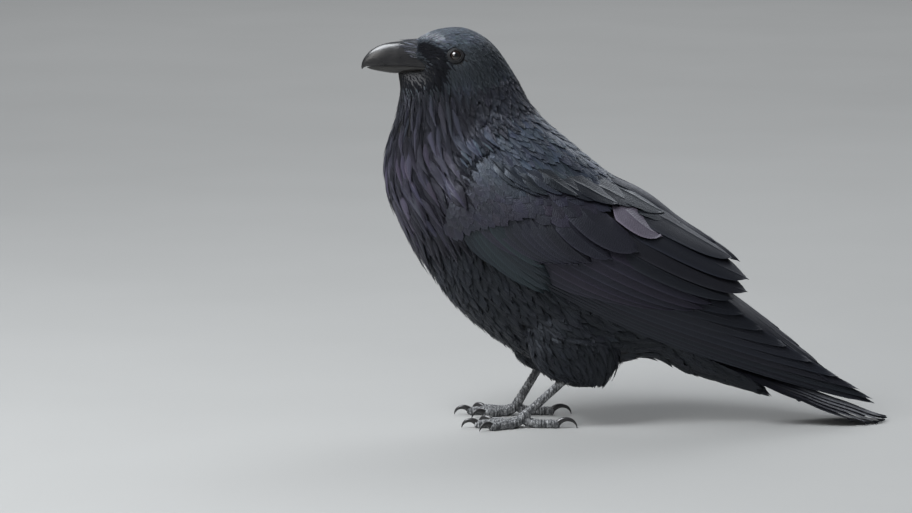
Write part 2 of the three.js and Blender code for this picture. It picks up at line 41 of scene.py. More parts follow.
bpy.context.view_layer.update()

# ================================================================ driving dimensions
# Stations of the feathered body from the face to the end of the tail coverts:
# back y, back z, front y, front z, half width, how far the widest place lies towards the back.
BODY = np.array([
    (-203, 361, -216, 334, 6, 0),          # 0 edge of the face
    (-193, 369.5, -214, 319, 11, 0.1),     # 1 forehead and chin
    (-176, 376, -216, 304, 17, 0.2),       # 2 before the eye
    (-152, 376.5, -219, 289, 23.2, 0.2),   # 3 behind the eye
    (-128, 363.5, -224, 274, 27, 0.15),    # 4 ear
    (-108, 337, -228, 258, 30, 0.1),       # 5 nape and throat
    (-90, 305, -229, 240, 35, 0.08),       # 6 middle of the neck
    (-72, 285, -226, 221, 42, 0.1),        # 7 root of the neck
    (-47, 264, -219, 202, 49, 0.12),       # 8 top of the back
    (-19, 238, -207, 177.5, 51, 0.1),      # 9 shoulders
    (4, 212, -191, 149, 52, 0.05),         # 10 breast
    (24, 188, -166, 114, 52, 0),           # 11 lower breast
    (41, 165, -132, 84, 50, 0),            # 12 belly
    (57, 146, -93, 61, 46, 0),             # 13 thighs
    (70, 130, -50, 52, 41, 0),             # 14 lower belly
    (79, 116, -10, 55, 32, 0),             # 15 vent
    (86, 104, 24, 60, 24, 0),              # 16 rump
    (98, 82, 62, 45, 18, 0),               # 17 tail coverts
    (124, 46, 116, 30, 6, 0),              # 18 end of the tail coverts
], float)
LAST_STATION = len(BODY) - 1
GAPE = dict(y=-181, z=337.5, tall=9.5, fade=15, depth=0.66)  # the face is drawn in beside the mouth
EYE = dict(y=-161.3, z=351.2, x=17.6, radius=6.3, lift=math.radians(14))  # lift: how far it looks up
ORBIT_DEPTH, ORBIT_RADIUS = 1.8, 8.5  # the shallow dish that the eye lies in

# Stations of the bill: ridge y, ridge z, cutting edge y, cutting edge z, half width.
UPPER_BILL = np.array([
    (-250.4, 339.6, -249.8, 337.6, 0.7), (-249.4, 344.5, -247.6, 339.6, 1.9),
    (-246.4, 349.8, -244.5, 340.7, 3.1), (-239.8, 356.4, -239, 341.1, 4.8),
    (-230, 361.4, -230, 341.7, 6.7), (-218, 363.9, -218, 342, 8.5),
    (-205, 364.8, -205, 341.6, 10), (-191, 365, -192, 340.4, 11.2), (-178, 363, -178, 337, 11.6),
], float)
LOWER_BILL = np.array([
    (-244.8, 338.9, -245.1, 339.7, 0.7), (-241, 337.2, -241, 340.4, 2.5),
    (-230, 334.9, -230, 341.2, 4.9), (-218, 333.5, -218, 341.5, 6.8), (-205, 330.9, -205, 341.1, 8.6),
    (-192, 329.2, -192, 339.9, 10.1), (-178, 327.5, -178, 336.5, 10.8),
], float)

# The folded wing in its own side view: a runs from the wrist to the tip and b is up across it.
WING_ANGLE = math.radians(27)
WING_COS, WING_SIN = math.cos(WING_ANGLE), math.sin(WING_ANGLE)
WING_UP = np.array([0, WING_SIN, WING_COS])
WRIST = (-165, 218)
# a, half width of the bird there, b of that widest line, b of the back.
FLANK = np.array([
    (-20, 38, 14, 122), (4, 54, 15, 117), (28, 61, 15, 109), (60, 66.5, 16, 99.5), (100, 70, 16, 91.5),
    (140, 69, 15, 85), (170, 66, 13.5, 82.5), (200, 60, 12, 77), (230, 52, 10, 74), (260, 44, 8, 70),
    (290, 36, 6, 59), (330, 29, 4, 45), (400, 19, 5, 31), (460, 13, 6, 25),
], float)
BELLY_DROP = 0.0042    # how fast the wing's side draws in below its widest line
BACK_FULLNESS = 2.3    # power of the curve from the widest line up to the back
BACK_ROLL = 8.0        # the upper edges of feathers turn in over this far at the back
MANTLE_REACH = 100.0   # how far the mantle is measured, from the midline down over the side
MANTLE_STEPS = 60
MANTLE_A_STEP = 4.0
MANTLE_A = np.arange(-20, 300, MANTLE_A_STEP)
MANTLE_COVER = 0.4     # the mantle may lie this far under the body's surface between the wings
MANTLE_DEEPEST = 25    # where it lies deeper than this it stays as it is
SHOULDER_T, SHOULDER_THETA = (5, 16), (-1.6, 1.6)  # the part of the body that can reach the mantle

TAIL_LINE = np.array([(34, 88), (100, 61), (170, 34), (214, 17.2), (250, 4), (270, 2)], float)
TAIL_TIPS_Y = (250.4, 248, 242, 233, 217, 167)  # where each pair ends, from the middle out
TAIL_SPREAD = math.radians(1.5)
TAIL_FEATHER_HALF = 15.5
TAIL_ROOF_DROP, TAIL_ROOF_HALF, TAIL_ROOF_END = 14, 40, 256

# Thigh sections: z, y, x, half length, half width. The legs stand as in the frame's nodes.
LEGS = (
    dict(name="left", side=1, ankle=(33, -50, 53), foot=(34, -98, 9.5), reach=43, thigh=np.array([
        (125, -54, 20, 46, 22), (100, -54, 26, 48, 22), (76, -50, 29, 45, 19.5), (60, -48, 31, 40, 15.5),
        (49, -46, 32, 31, 12.5), (43, -43, 32, 22, 8.5), (39, -40, 32, 12, 4.5)], float)),
    dict(name="right", side=-1, ankle=(-31, -68, 69), foot=(-34, -103, 9.5), reach=45, thigh=np.array([
        (125, -64, -20, 46, 22), (100, -67, -26, 46, 22), (78, -72, -29, 40, 19.5), (64, -76, -31, 32, 15.5),
        (54, -78, -31, 24, 12.5), (48, -78, -31, 16, 8.5), (44, -77, -31, 8, 4.5)], float)),
)
# Toes 1 (hind) to 4 (outer): turn outwards from straight ahead, length, length of the claw's arc.
TOES = ((176, 33, 24), (-24, 32, 17), (2, 43, 19), (29, 34, 16))
TOE_RADIUS = 4.4
TARSUS_RADIUS = 4.0

# ================================================================ small tools
def smooth(u):
    u = np.clip(u, 0, 1)
    return u * u * (3 - 2 * u)


def ramp(x, start, end):
    """A smooth step from 0 at start to 1 at end."""
    return smooth((x - start) / (end - start))


def catmull(rows, t):
    """The Catmull-Rom curve through the rows of a table, at places t counted in rows."""
    t = np.asarray(t, float)
    last = len(rows) - 1
    i = np.clip(np.floor(t).astype(int), 0, last - 1)
    u = (t - i)[..., None]
    p1, p2 = rows[i], rows[i + 1]
    p0 = np.where((i > 0)[..., None], rows[np.maximum(i - 1, 0)], 2 * p1 - p2)
    p3 = np.where((i < last - 1)[..., None], rows[np.minimum(i + 2, last)], 2 * p2 - p1)
    bend = 2 * p0 - 5 * p1 + 4 * p2 - p3 + u * (3 * (p1 - p2) + p3 - p0)
    return p1 + 0.5 * u * (p2 - p0 + u * bend)


def along_table(table, x):
    """The columns of a table at x, where the first column is x itself and grows."""
    xs = table[:, 0]
    i = np.clip(np.searchsorted(xs, x, side="right") - 1, 0, len(xs) - 2)
    u = np.clip((x - xs[i]) / (xs[i + 1] - xs[i]), 0, 1)
    return catmull(table[:, 1:], i + u)


def knots(t, *pairs):
    """A value that runs in straight stretches through (place, value) pairs."""
    xs, ys = zip(*pairs)
    return np.interp(t, xs, ys)


def circle(count):
    """Evenly spaced angles all the way round."""
    return np.linspace(0, TURN, count + 1)[:-1]


def unit(vectors):
    return vectors / np.maximum(np.linalg.norm(vectors, axis=-1), 1e-9)[..., None]


def tree_of(points):
    """A tree that finds the nearest of some points."""
    tree = kdtree.KDTree(len(points))
    for i, point in enumerate(points):
        tree.insert(point, i)
    tree.balance()
    return tree


def thin(points, reach):
    """Which points are left when each point that is kept takes away all others within its reach."""
    tree = tree_of(points)
    free = np.ones(len(points), bool)
    kept = []
    for i, point in enumerate(points):
        if free[i]:
            kept.append(i)
            for _, j, _ in tree.find_range(point, reach[i]):
                free[j] = False
    return np.array(kept)


# ================================================================ surfaces of the CAD solids
# A surface takes two arrays and gives points.
def body_surface(t, theta, grow=0.0):
    row = catmull(BODY, t)
    back, front, half, high = row[..., 0:2], row[..., 2:4], row[..., 4], row[..., 5]
    up = back - front
    tall = np.linalg.norm(up, axis=-1)
    rise = (tall / 2 + grow) * (np.cos(theta) + high * np.sin(theta) ** 2)
    yz = (back + front) / 2 + up * (rise / tall)[..., None]
    ahead = smooth((GAPE["y"] - yz[..., 0]) / GAPE["fade"])
    drawn = GAPE["depth"] * ahead * np.exp(-(((yz[..., 1] - GAPE["z"]) / GAPE["tall"]) ** 2))
    x = (half + grow) * np.sin(theta) * (1 - drawn)
    from_eye = ((yz[..., 0] - EYE["y"]) ** 2 + (yz[..., 1] - EYE["z"]) ** 2) / ORBIT_RADIUS ** 2
    x = x - ORBIT_DEPTH * np.exp(-from_eye) * np.sin(theta) ** 3
    return np.stack([x, yz[..., 0], yz[..., 1]], -1)


def eye_point(side, rho, angle, height):
    """A point near an eye: rho and angle round the eye's axis, height along it. Angle 0 is forward."""
    across, up = rho * np.cos(angle), rho * np.sin(angle)
    cos, sin = math.cos(EYE["lift"]), math.sin(EYE["lift"])
    x = EYE["x"] + height * cos - up * sin
    return np.stack([side * x, EYE["y"] - across, EYE["z"] + height * sin + up * cos], -1)


def thigh_surface(leg):
    def surface(t, angle, grow=0.0):
        z, y, x, long, wide = np.moveaxis(catmull(leg["thigh"], t), -1, 0)
        return np.stack([x + (wide + grow) * np.cos(angle), y + (long + grow) * np.sin(angle), z], -1)
    return surface


def thigh_section(leg, z):
    """Middle y and x, half length and half width of a thigh at height z."""
    rows = leg["thigh"][::-1]
    return [np.interp(z, rows[:, 0], rows[:, k]) for k in range(1, 5)]


def flank(a, b):
    """How far out the folded wing's surface stands from the bird's middle plane."""
    wide, line, back = np.moveaxis(along_table(FLANK, a), -1, 0)
    low = wide - BELLY_DROP * (line - b) ** 2 * (wide / 60)
    up = np.clip((b - line) / (back - line), 0, 1)
    high = 1.5 + (wide - 1.5) * (1 - up ** BACK_FULLNESS)
    return np.where(b < line, low, high)


def wing_point(x, a, b):
    return np.stack([x, WRIST[0] + a * WING_COS + b * WING_SIN, WRIST[1] - a * WING_SIN + b * WING_COS], -1)


def to_wing(points):
    """The a and b of points in space."""
    y, z = points[..., 1] - WRIST[0], points[..., 2] - WRIST[1]
    return y * WING_COS - z * WING_SIN, y * WING_SIN + z * WING_COS


def under_back(a, b):
    """Draws in the upper edges of feathers that would rise over the line of the back."""
    back = along_table(FLANK, a)[..., 2]
    over = np.maximum(b - back + BACK_ROLL, 0)
    return np.where(over > 0, back - BACK_ROLL * np.exp(-over / BACK_ROLL), b)


def wing_surface(side):
    def surface(a, b):
        b = under_back(a, b)
        return wing_point(side * flank(a, b), a, b)
    return surface


def metric(surface, p, q, step_p, step_q):
    """Lengths of a unit step in p and in q, and the normal made from the two."""
    dp = (surface(p + step_p, q) - surface(p - step_p, q)) / (2 * step_p)
    dq = (surface(p, q + step_q) - surface(p, q - step_q)) / (2 * step_q)
    return np.linalg.norm(dp, axis=-1), np.linalg.norm(dq, axis=-1), unit(np.cross(dp, dq))


class Ground:
    """A surface for feathers. sign says on which side its outside lies; steps are short steps over it."""

    def __init__(self, surface, sign, steps):
        self.surface, self.sign, self.steps = surface, sign, steps

    def metric(self, p, q):
        mp, mq, normal = metric(self.surface, p, q, *self.steps)
        return mp, mq, self.sign * normal


BODY_STEPS = (0.02, 0.01)
SHEET_STEPS = (1.0, 1.0)
BODY_GROUND = Ground(body_surface, -1, BODY_STEPS)


def measure_mantle():
    """For each a: x and b at even distances from the midline down over the side of the back."""
    tables = []
    for a in MANTLE_A:
        line, back = along_table(FLANK, np.array([a]))[0, 1:3]
        b = back - (back - line + 20) * np.linspace(0, 1, 200) ** 1.6
        x = flank(np.full_like(b, a), b)
        x = np.maximum(x - x[0], 0)
        run = np.concatenate([[0], np.cumsum(np.hypot(np.diff(b), np.diff(x)))])
        far = np.linspace(0, MANTLE_REACH, MANTLE_STEPS)
        tables.append(np.stack([np.interp(far, run, x), np.interp(far, run, b)], -1))
    return np.array(tables)


def over_back(tables):
    """Raises the measured mantle where the neck and the back stand out between the wings."""
    t, theta = np.meshgrid(np.linspace(*SHOULDER_T, 240), np.linspace(*SHOULDER_THETA, 120), indexing="ij")
    shell = body_surface(t, theta).reshape(-1, 3)
    normals = BODY_GROUND.metric(t, theta)[2].reshape(-1, 3)
    tree = tree_of(shell)
    raised = tables.copy()
    for i, a in enumerate(MANTLE_A):
        points = wing_point(tables[i, :, 0], np.full(MANTLE_STEPS, a), tables[i, :, 1])
        near = [tree.find(point)[1] for point in points]
        height = ((points - shell[near]) * normals[near]).sum(1)
        lift = np.maximum(-MANTLE_COVER - height, 0) * (height > -MANTLE_DEEPEST)
        lift = np.convolve(np.pad(lift, 3, mode="edge"), np.ones(7) / 7, mode="valid")  # evened out
        raised[i, :, 0] += lift * normals[near, 0]
        raised[i, :, 1] += lift * (normals[near] @ WING_UP)
    raised[:, 0, 0] = 0
    return raised


MANTLE = over_back(measure_mantle())


def mantle_surface(a, c):
    """The upper back over both wings: c is the distance from the midline, positive to the left."""
    i = np.clip((a - MANTLE_A[0]) / MANTLE_A_STEP, 0, len(MANTLE_A) - 1.001)
    j = np.clip(np.abs(c) / MANTLE_REACH * (MANTLE_STEPS - 1), 0, MANTLE_STEPS - 1.001)
    i0, j0 = i.astype(int), j.astype(int)
    u, v = (i - i0)[..., None], (j - j0)[..., None]
    at = (MANTLE[i0, j0] * (1 - u) * (1 - v) + MANTLE[i0 + 1, j0] * u * (1 - v)
          + MANTLE[i0, j0 + 1] * (1 - u) * v + MANTLE[i0 + 1, j0 + 1] * u * v)
    crown = 1.2 * (1 - np.minimum(np.abs(c) / 9, 1)) ** 2  # the ridge of the back is rounded
    return wing_point(np.sign(c) * at[..., 0], a, at[..., 1] - crown)


def tail_surface(y, x):
    u = (y - TAIL_LINE[0, 0]) / (TAIL_ROOF_END - TAIL_LINE[0, 0])
    drop = TAIL_ROOF_DROP * np.abs(x / TAIL_ROOF_HALF) ** 1.6 * smooth(1.6 * u)
    return np.stack([x, y, along_table(TAIL_LINE, y)[..., 0] - drop], -1)


# ================================================================ meshes
def put_values(mesh, name, values):
    """Stores a number or a colour for each point of a mesh."""
    values = np.asarray(values, np.float32)
    if values.ndim == 1:
        mesh.attributes.new(name, "FLOAT", "POINT").data.foreach_set("value", values)
    else:
        rgba = np.concatenate([values, np.ones((len(values), 1), np.float32)], 1)
        mesh.attributes.new(name, "FLOAT_COLOR", "POINT").data.foreach_set("color", rgba.ravel())


def make_mesh(name, points, loops, sizes, material, uvs=None, values=None, sharp=60):
    """An object from points in mm. loops holds the corners of all faces in a row, sizes their counts."""
    mesh = bpy.data.meshes.new(name)
    mesh.vertices.add(len(points))
    mesh.vertices.foreach_set("co", (np.asarray(points, np.float32) * MM).ravel())
    mesh.loops.add(len(loops))
    mesh.loops.foreach_set("vertex_index", np.asarray(loops, np.int32))
    mesh.polygons.add(len(sizes))
    starts = np.concatenate([[0], np.cumsum(sizes)[:-1]]).astype(np.int32)
    mesh.polygons.foreach_set("loop_start", starts)
    mesh.polygons.foreach_set("use_smooth", np.ones(len(sizes), bool))
    mesh.update(calc_edges=True)
    for key, places in (uvs or {}).items():
        mesh.uv_layers.new(name=key).data.foreach_set("uv", places[loops].astype(np.float32).ravel())
    for key, value in (values or {}).items():
        put_values(mesh, key, value)
    mesh.validate()
    if sharp:
        mesh.set_sharp_from_angle(angle=math.radians(sharp))
    mesh.materials.append(material)
    piece = bpy.data.objects.new(name, mesh)
    bpy.context.collection.objects.link(piece)
    return piece


def grid_faces(rings, sides):
    """Quads between closed rings of points."""
    r, s = np.meshgrid(np.arange(rings - 1), np.arange(sides), indexing="ij")
    a = r * sides + s
    b = r * sides + (s + 1) % sides
    return np.stack([a, b, b + sides, a + sides], -1).reshape(-1, 4)


def loft(rings):
    """Points, loops and sizes of a closed body over an array of rings, with a flat face at each end."""
    count, sides = rings.shape[:2]
    quads = grid_faces(count, sides)
    first = np.arange(sides)[::-1]
    last = (count - 1) * sides + np.arange(sides)
    loops = np.concatenate([quads.ravel(), first, last])
    sizes = np.concatenate([np.full(len(quads), 4), [sides, sides]])
    return rings.reshape(-1, 3), loops, sizes


def show(piece, nodes=()):
    """Every piece rides on the one body and stands for its CAD nodes."""
    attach(piece, "root")
    if nodes:
        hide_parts(*nodes)
    return piece


# ================================================================ feathers
PATCH = 0.003          # size of a feather's place in the map OFBake
TRIALS = 4000          # points that are thrown to measure how many roots a surface needs
THROWN_PER_ROOT = 4


def as_block(value, n):
    """A number, or one for each of n feathers, shaped to multiply (feathers, along, across) arrays."""
    return np.broadcast_to(np.asarray(value, float), n)[:, None, None]


class Vane:
    """The faces of one feather: an arched top of small quads over a flat underside, closed at both ends.

    s are the places of its points along it, from 0 to 1, and u those across it, from -1 to 1.
    """

    def __init__(self, along, lines, tip_power=1.25):
        self.s = 1 - (1 - np.linspace(0, 1, along + 1)) ** tip_power
        self.u = np.array(lines)
        wide = len(lines)
        faces = []
        for start in range(0, along * wide, wide):
            faces += [[a, a + wide, a + wide + 1, a + 1] for a in range(start, start + wide - 1)]
            faces.append([start, start + wide - 1, start + 2 * wide - 1, start + wide])
        faces.append(list(range(wide)))
        faces.append(list(range(along * wide, along * wide + wide))[::-1])
        self.loops = np.concatenate(faces)
        self.turned = np.concatenate([face[::-1] for face in faces])
        self.sizes = np.array([len(face) for face in faces])


def plain_vane(along, across):
    return Vane(along, np.linspace(-1, 1, across + 1))


def outline(s, point):
    """Half width of a feather along it, as a share: point 0 has a round tip, point 1 a long pointed one."""
    root = np.minimum(1, 0.4 + 2.6 * s)
    blunt = np.sqrt(np.maximum(1 - s ** 5, 0)) * 0.97 + 0.03
    lance = 1.12 * np.sqrt(np.minimum(1, 0.25 + 2.2 * s)) * np.maximum(1 - s, 0) ** 0.75 + 0.03
    return root * (blunt * (1 - point) + np.minimum(lance, 1.05) * point)


class Coat:
    """Feathers that are joined into one piece."""

    def __init__(self, name, seed):
        self.name = name
        self.rng = np.random.default_rng(seed)
        self.points, self.loops, self.sizes = [], [], []
        self.bake, self.vane, self.tone, self.tint = [], [], [], []
        self.offset = 0

    def add(self, vane, points, outward, long, box, tone, fade, tint):
        """points is (feathers, along, across, 3); the rest has one value for each feather.

        box is each feather's rectangle (u0, v0, u1, v1) in the map OFBake. fade makes its tip that much
        paler than its root.
        """
        n, rows, columns = points.shape[:3]
        i, j = rows // 2, columns // 2
        face = np.cross(points[:, i + 1, j] - points[:, i, j], points[:, i, j + 1] - points[:, i, j])
        loops = vane.loops if (face * outward).sum() > 0 else vane.turned
        starts = self.offset + np.arange(n) * rows * columns
        self.loops.append((starts[:, None] + loops).ravel())
        self.sizes.append(np.tile(vane.sizes, n))
        self.points.append(points.reshape(-1, 3))
        across = np.broadcast_to(0.5 + 0.5 * vane.u, (n, rows, columns))
        ahead = np.broadcast_to(vane.s[:, None], (n, rows, columns))
        u0, v0, u1, v1 = [as_block(side, n) for side in np.asarray(box, float).T]
        self.bake.append(np.stack([u0 + (u1 - u0) * across, v0 + (v1 - v0) * ahead], -1).reshape(-1, 2))
        self.vane.append(np.stack([across, ahead * as_block(long, n) / 10], -1).reshape(-1, 2))
        self.tone.append((as_block(tone, n) + fade * (ahead - 0.6)).ravel())
        self.tint.append(np.repeat(tint, rows * columns, axis=0))
        self.offset += n * rows * columns

    def finish(self, material, slot, nodes=()):
        piece = make_mesh(
            self.name, np.concatenate(self.points), np.concatenate(self.loops), np.concatenate(self.sizes),
            material,
            uvs={"OFBake": np.concatenate(self.bake), "vane": np.concatenate(self.vane)},
            values={"tone": np.concatenate(self.tone), "tint": np.concatenate(self.tint)},
        )
        return show(piece, nodes)


def scatter(ground, p_range, q_range, spacing, seed, keep=None):
    """Roots spread evenly: points thrown at random and thinned until none is closer than the spacing."""
    rng = np.random.default_rng(seed)
    def throw(n):
        p = rng.uniform(*p_range, n)
        q = rng.uniform(*q_range, n)
        mp, mq, _ = ground.metric(p, q)
        return p, q, mp * mq / spacing(p, q) ** 2
    _, _, trial = throw(TRIALS)
    area = (p_range[1] - p_range[0]) * (q_range[1] - q_range[0])
    wanted = int(trial.mean() * area * THROWN_PER_ROOT)
    p, q, weight = throw(int(wanted * trial.max() / trial.mean()))
    chosen = rng.uniform(0, trial.max(), len(p)) < weight
    p, q = p[chosen], q[chosen]
    points = ground.surface(p, q)
    if keep is not None:
        kept = keep(p, q, points)
        p, q, points = p[kept], q[kept], points[kept]
    roots = thin(points, spacing(p, q))
    return p[roots], q[roots]


def tufts(ground, p, q, reach, long, gain, rng):
    """Draws feathers together into tufts of about the given reach.

    Gives for each feather a turn towards its tuft's middle line, how far from that line it is rooted
    (0 to about 1), and a tone that the whole tuft shares.
    """
    points = ground.surface(p, q)
    heads = thin(points, reach)
    tree = tree_of(points[heads])
    nearest = np.array([tree.find(point)[1] for point in points])
    across = q - q[heads[nearest]]
    if ground.steps == BODY_STEPS:  # there q is an angle
        across = (across + math.pi) % TURN - math.pi
    aside = across * ground.metric(p, q)[1]
    shared = rng.uniform(0, 1, nearest.max() + 1)[nearest]
    turn = np.clip(-gain * ground.sign * aside / long, -0.5, 0.5)
    return turn, np.minimum(np.abs(aside) / reach, 1.2), shared


def run_out(ground, s, p, q, long, yaw, curl, lie):
    """The middle lines of feathers over a surface: p, q and the heading at each place of s."""
    ps, qs, headings = [p], [q], []
    turn = yaw
    for k in range(len(s)):
        headings.append(turn + lie(ps[-1], qs[-1]))
        if k < len(s) - 1:
            step = s[k + 1] - s[k]
            mp, mq, _ = ground.metric(ps[-1], qs[-1])
            ps.append(ps[-1] + long * step * np.cos(headings[-1]) / np.maximum(mp, 1e-6))
            qs.append(qs[-1] + ground.sign * long * step * np.sin(headings[-1]) / np.maximum(mq, 1e-6))
            turn = turn + curl * step
    return np.stack(ps, 1), np.stack(qs, 1), np.stack(headings, 1)


def lay(coat, vane, ground, p, q, *, long, wide, root_depth, tip_depth, point, arch, yaw, curl, ragged,
        place, tone, tint, lie=lambda p, q: 0, fade=0.0):
    """Lays feathers along a surface. Their roots are sunk by root_depth and their tips by tip_depth.

    yaw turns each feather, curl bends it, lie(p, q) turns them all, arch rounds them across and ragged frays
    their edges. place(p, q) gives a root's place in the map OFBake.
    """
    n, s, u = len(p), vane.s[:, None], vane.u
    ps, qs, headings = run_out(ground, vane.s, p, q, long, yaw, curl, lie)
    mp, mq, normal = ground.metric(ps, qs)
    wide, ragged, point = as_block(wide, n), as_block(ragged, n), as_block(point, n)
    half = 0.5 * wide * outline(s, point)
    size = (n, len(s), len(u))
    shift = half * u * (1 + ragged * coat.rng.uniform(-1, 1, size) * np.abs(u) * (s > 0.25))
    slip = ragged * wide * 0.35 * coat.rng.uniform(-1, 1, size) * (s > 0.3) - 0.18 * wide * u ** 2 * (s > 0.2)
    cos, sin = np.cos(headings)[..., None], np.sin(headings)[..., None]
    points = ground.surface(ps[..., None] + (slip * cos - shift * sin) / mp[..., None],
                            qs[..., None] + ground.sign * (slip * sin + shift * cos) / mq[..., None])
    rise = -as_block(root_depth, n) * (1 - s) ** 0.8 - as_block(tip_depth, n) * s
    bulge = as_block(arch, n) * half * (1 - u ** 2)
    points = points + normal[:, :, None, :] * (rise + bulge)[..., None]
    root = place(p, q)
    box = np.concatenate([root - PATCH / 2, root + PATCH / 2], 1)
    coat.add(vane, points, normal[:, len(s) // 2], long, box, tone, fade, tint)


# ================================================================ materials
class Shader:
    """A material that is put together by short calls. Each gives the socket that its new node ends in."""

    def __init__(self, name):
        self.material = bpy.data.materials.new(name)
        self.material.use_nodes = True
        self.tree = self.material.node_tree
        self.inputs = self.tree.nodes["Principled BSDF"].inputs

    def put(self, socket, value):
        """Gives a socket a number, a colour or the output of another node."""
        if isinstance(value, bpy.types.NodeSocket):
            self.tree.links.new(value, socket)
        elif isinstance(value, tuple) and socket.type == "RGBA":
            socket.default_value = (*value, 1)
        else:
            socket.default_value = value

    def finish(self, values):
        for name, value in values.items():
            self.put(self.inputs[name], value)
        return self.material

    def node(self, kind, **values):
        node = self.tree.nodes.new("ShaderNode" + kind)
        for name, value in values.items():
            self.put(node.inputs[name], value)
        return node

    def math(self, operation, *values):
        node = self.node("Math")
        node.operation = operation
        for socket, value in zip(node.inputs, values):
            self.put(socket, value)
        return node.outputs[0]

    def times(self, value, factor):
        return self.math("MULTIPLY", value, factor)

    def line(self, value, slope, start):
        return self.math("MULTIPLY_ADD", value, slope, start)

    def mix(self, factor, a, b, blend="MIX"):
        node = self.node("Mix")
        node.data_type = "RGBA"
        node.blend_type = blend
        for socket, value in zip((node.inputs["Factor"], node.inputs[6], node.inputs[7]), (factor, a, b)):
            self.put(socket, value)
        return node.outputs[2]

    def place(self, stretch=None):
        """The place on the object, squeezed along some axes where a stretch is given."""
        place = self.node("TexCoord").outputs["Object"]
        return self.node("Mapping", Vector=place, Scale=stretch).outputs["Vector"] if stretch else place

    def noise(self, scale, detail, stretch=None):
        node = self.node("TexNoise", Scale=scale, Detail=detail, Roughness=0.55, Vector=self.place(stretch))
        return node.outputs["Fac"]

    def attribute(self, name, output="Fac"):
        node = self.node("Attribute")
        node.attribute_name = name
        return node.outputs[output]

    def step(self, value, low, high):
        """0 below low and 1 above high."""
        node = self.node("ValToRGB", Fac=value)
        for element, place in zip(node.color_ramp.elements, (low, high)):
            element.position = place
        return node.outputs["Color"]

    def bump(self, height, strength, distance):
        node = self.node("Bump", Strength=strength, Distance=distance, Height=height)
        self.put(self.inputs["Normal"], node.outputs["Normal"])


FINE_RELIEF, HORN_RELIEF = 0.00025, 0.0003  # depths of the bumps in metres


def feather_material(name, roughness, specular, gloss_tint, sheen, sheen_tint, barbs, barb_bump, shaft,
                     lengthwise=0.0, hem_wear_and_glint=0.35, painted_edge_shade=0.0):
    """Feather: fine slanting barbs, a shaft, a pale hem for wear and as a painted glint, painted shade on the
    outer vane, and a tone of its own for each.

    barbs is how many ridges there are to 10 mm, and shaft its half width as a share of the feather's width.
    lengthwise turns the barbs from slanting ones to lines along the feather. hem_wear_and_glint lightens a
    thin hem, for wear and as a painted glint along the edge. painted_edge_shade darkens the outer parts of
    the vane as painted shade, so that the middle looks lit.
    """
    s = Shader(name)
    uv = s.node("UVMap")
    uv.uv_map = "vane"
    split = s.node("SeparateXYZ", Vector=uv.outputs["UV"])
    across, ahead = split.outputs["X"], split.outputs["Y"]
    tone = s.attribute("tone")
    away = s.math("ABSOLUTE", s.math("SUBTRACT", across, 0.5))
    clump = s.noise(320, 2.0)
    slant = s.times(ahead, barbs * (1 - 0.8 * lengthwise))
    slant = s.line(away, -barbs * 0.55 * (1 - lengthwise) - 11 * lengthwise, slant)
    barb = s.math("SINE", s.times(s.line(clump, 2.5 - lengthwise, slant), TURN))
    rib = s.math("MAXIMUM", s.math("SUBTRACT", 1, s.times(away, 1 / shaft)), 0)
    height = s.line(rib, 1.6, s.times(barb, 0.5))
    s.bump(s.math("ADD", height, s.times(s.noise(900, 2.0), 0.8)), barb_bump, FINE_RELIEF)
    shade = s.math("MAXIMUM", s.line(tone, 1.0, 0.5), 0.15)
    shade = s.times(shade, s.line(barb, 0.16, 1.0))
    to_edge = s.times(away, 2)
    # Painted shade: the outer parts of the vane are darkened so that the middle looks lit.
    shade = s.times(shade, s.line(s.math("POWER", to_edge, 2), -painted_edge_shade, 1.0))
    # A pale hem, partly wear and partly a painted glint along the edge.
    shade = s.line(s.math("POWER", to_edge, 9), hem_wear_and_glint, shade)
    return s.finish({
        "Base Color": s.mix(1.0, s.attribute("tint", "Color"), shade, "MULTIPLY"),
        "Roughness": s.line(clump, 0.14, s.line(tone, -0.06, roughness)),
        "Specular IOR Level": specular,
        "Specular Tint": gloss_tint,
        "Sheen Weight": sheen,
        "Sheen Roughness": 0.35,
        "Sheen Tint": sheen_tint,
    })


HEAD_FEATHER = feather_material(
    "plumage_head", roughness=0.46, specular=0.60, gloss_tint=(0.78, 0.90, 1.0),
    sheen=0.05, sheen_tint=(0.62, 0.72, 0.95), barbs=5.0, barb_bump=0.5, shaft=0.10,
    lengthwise=0.4, hem_wear_and_glint=0.1, painted_edge_shade=0.4)
# The face's dull feathers: the lores' own matte black, and along the gape and under the bill a duller copy
# that stands for shade.
FACE_FEATHER = feather_material(
    "plumage_face", roughness=0.62, specular=0.16, gloss_tint=(0.8, 0.85, 1.0),
    sheen=0.0, sheen_tint=(0.6, 0.7, 0.9), barbs=5.0, barb_bump=0.5, shaft=0.10,
    lengthwise=0.4, hem_wear_and_glint=0.0, painted_edge_shade=0.3)
HACKLE = feather_material(
    "plumage_hackle", roughness=0.36, specular=0.62, gloss_tint=(0.84, 0.86, 1.0),
    sheen=0.04, sheen_tint=(0.66, 0.66, 0.90), barbs=5.0, barb_bump=0.8, shaft=0.05,
    lengthwise=1.0, hem_wear_and_glint=0.0, painted_edge_shade=0.55)
BODY_FEATHER = feather_material(
    "plumage_body", roughness=0.42, specular=0.52, gloss_tint=(0.80, 0.88, 1.0),
    sheen=0.05, sheen_tint=(0.62, 0.66, 0.90), barbs=5.0, barb_bump=0.6, shaft=0.06,
    lengthwise=0.5, hem_wear_and_glint=0.0, painted_edge_shade=0.45)
WING_FEATHER = feather_material(
    "plumage_wing", roughness=0.40, specular=0.60, gloss_tint=(0.80, 0.88, 1.0),
    sheen=0.05, sheen_tint=(0.60, 0.66, 0.95), barbs=6.0, barb_bump=0.38, shaft=0.05,
    lengthwise=0.3, hem_wear_and_glint=1.3)
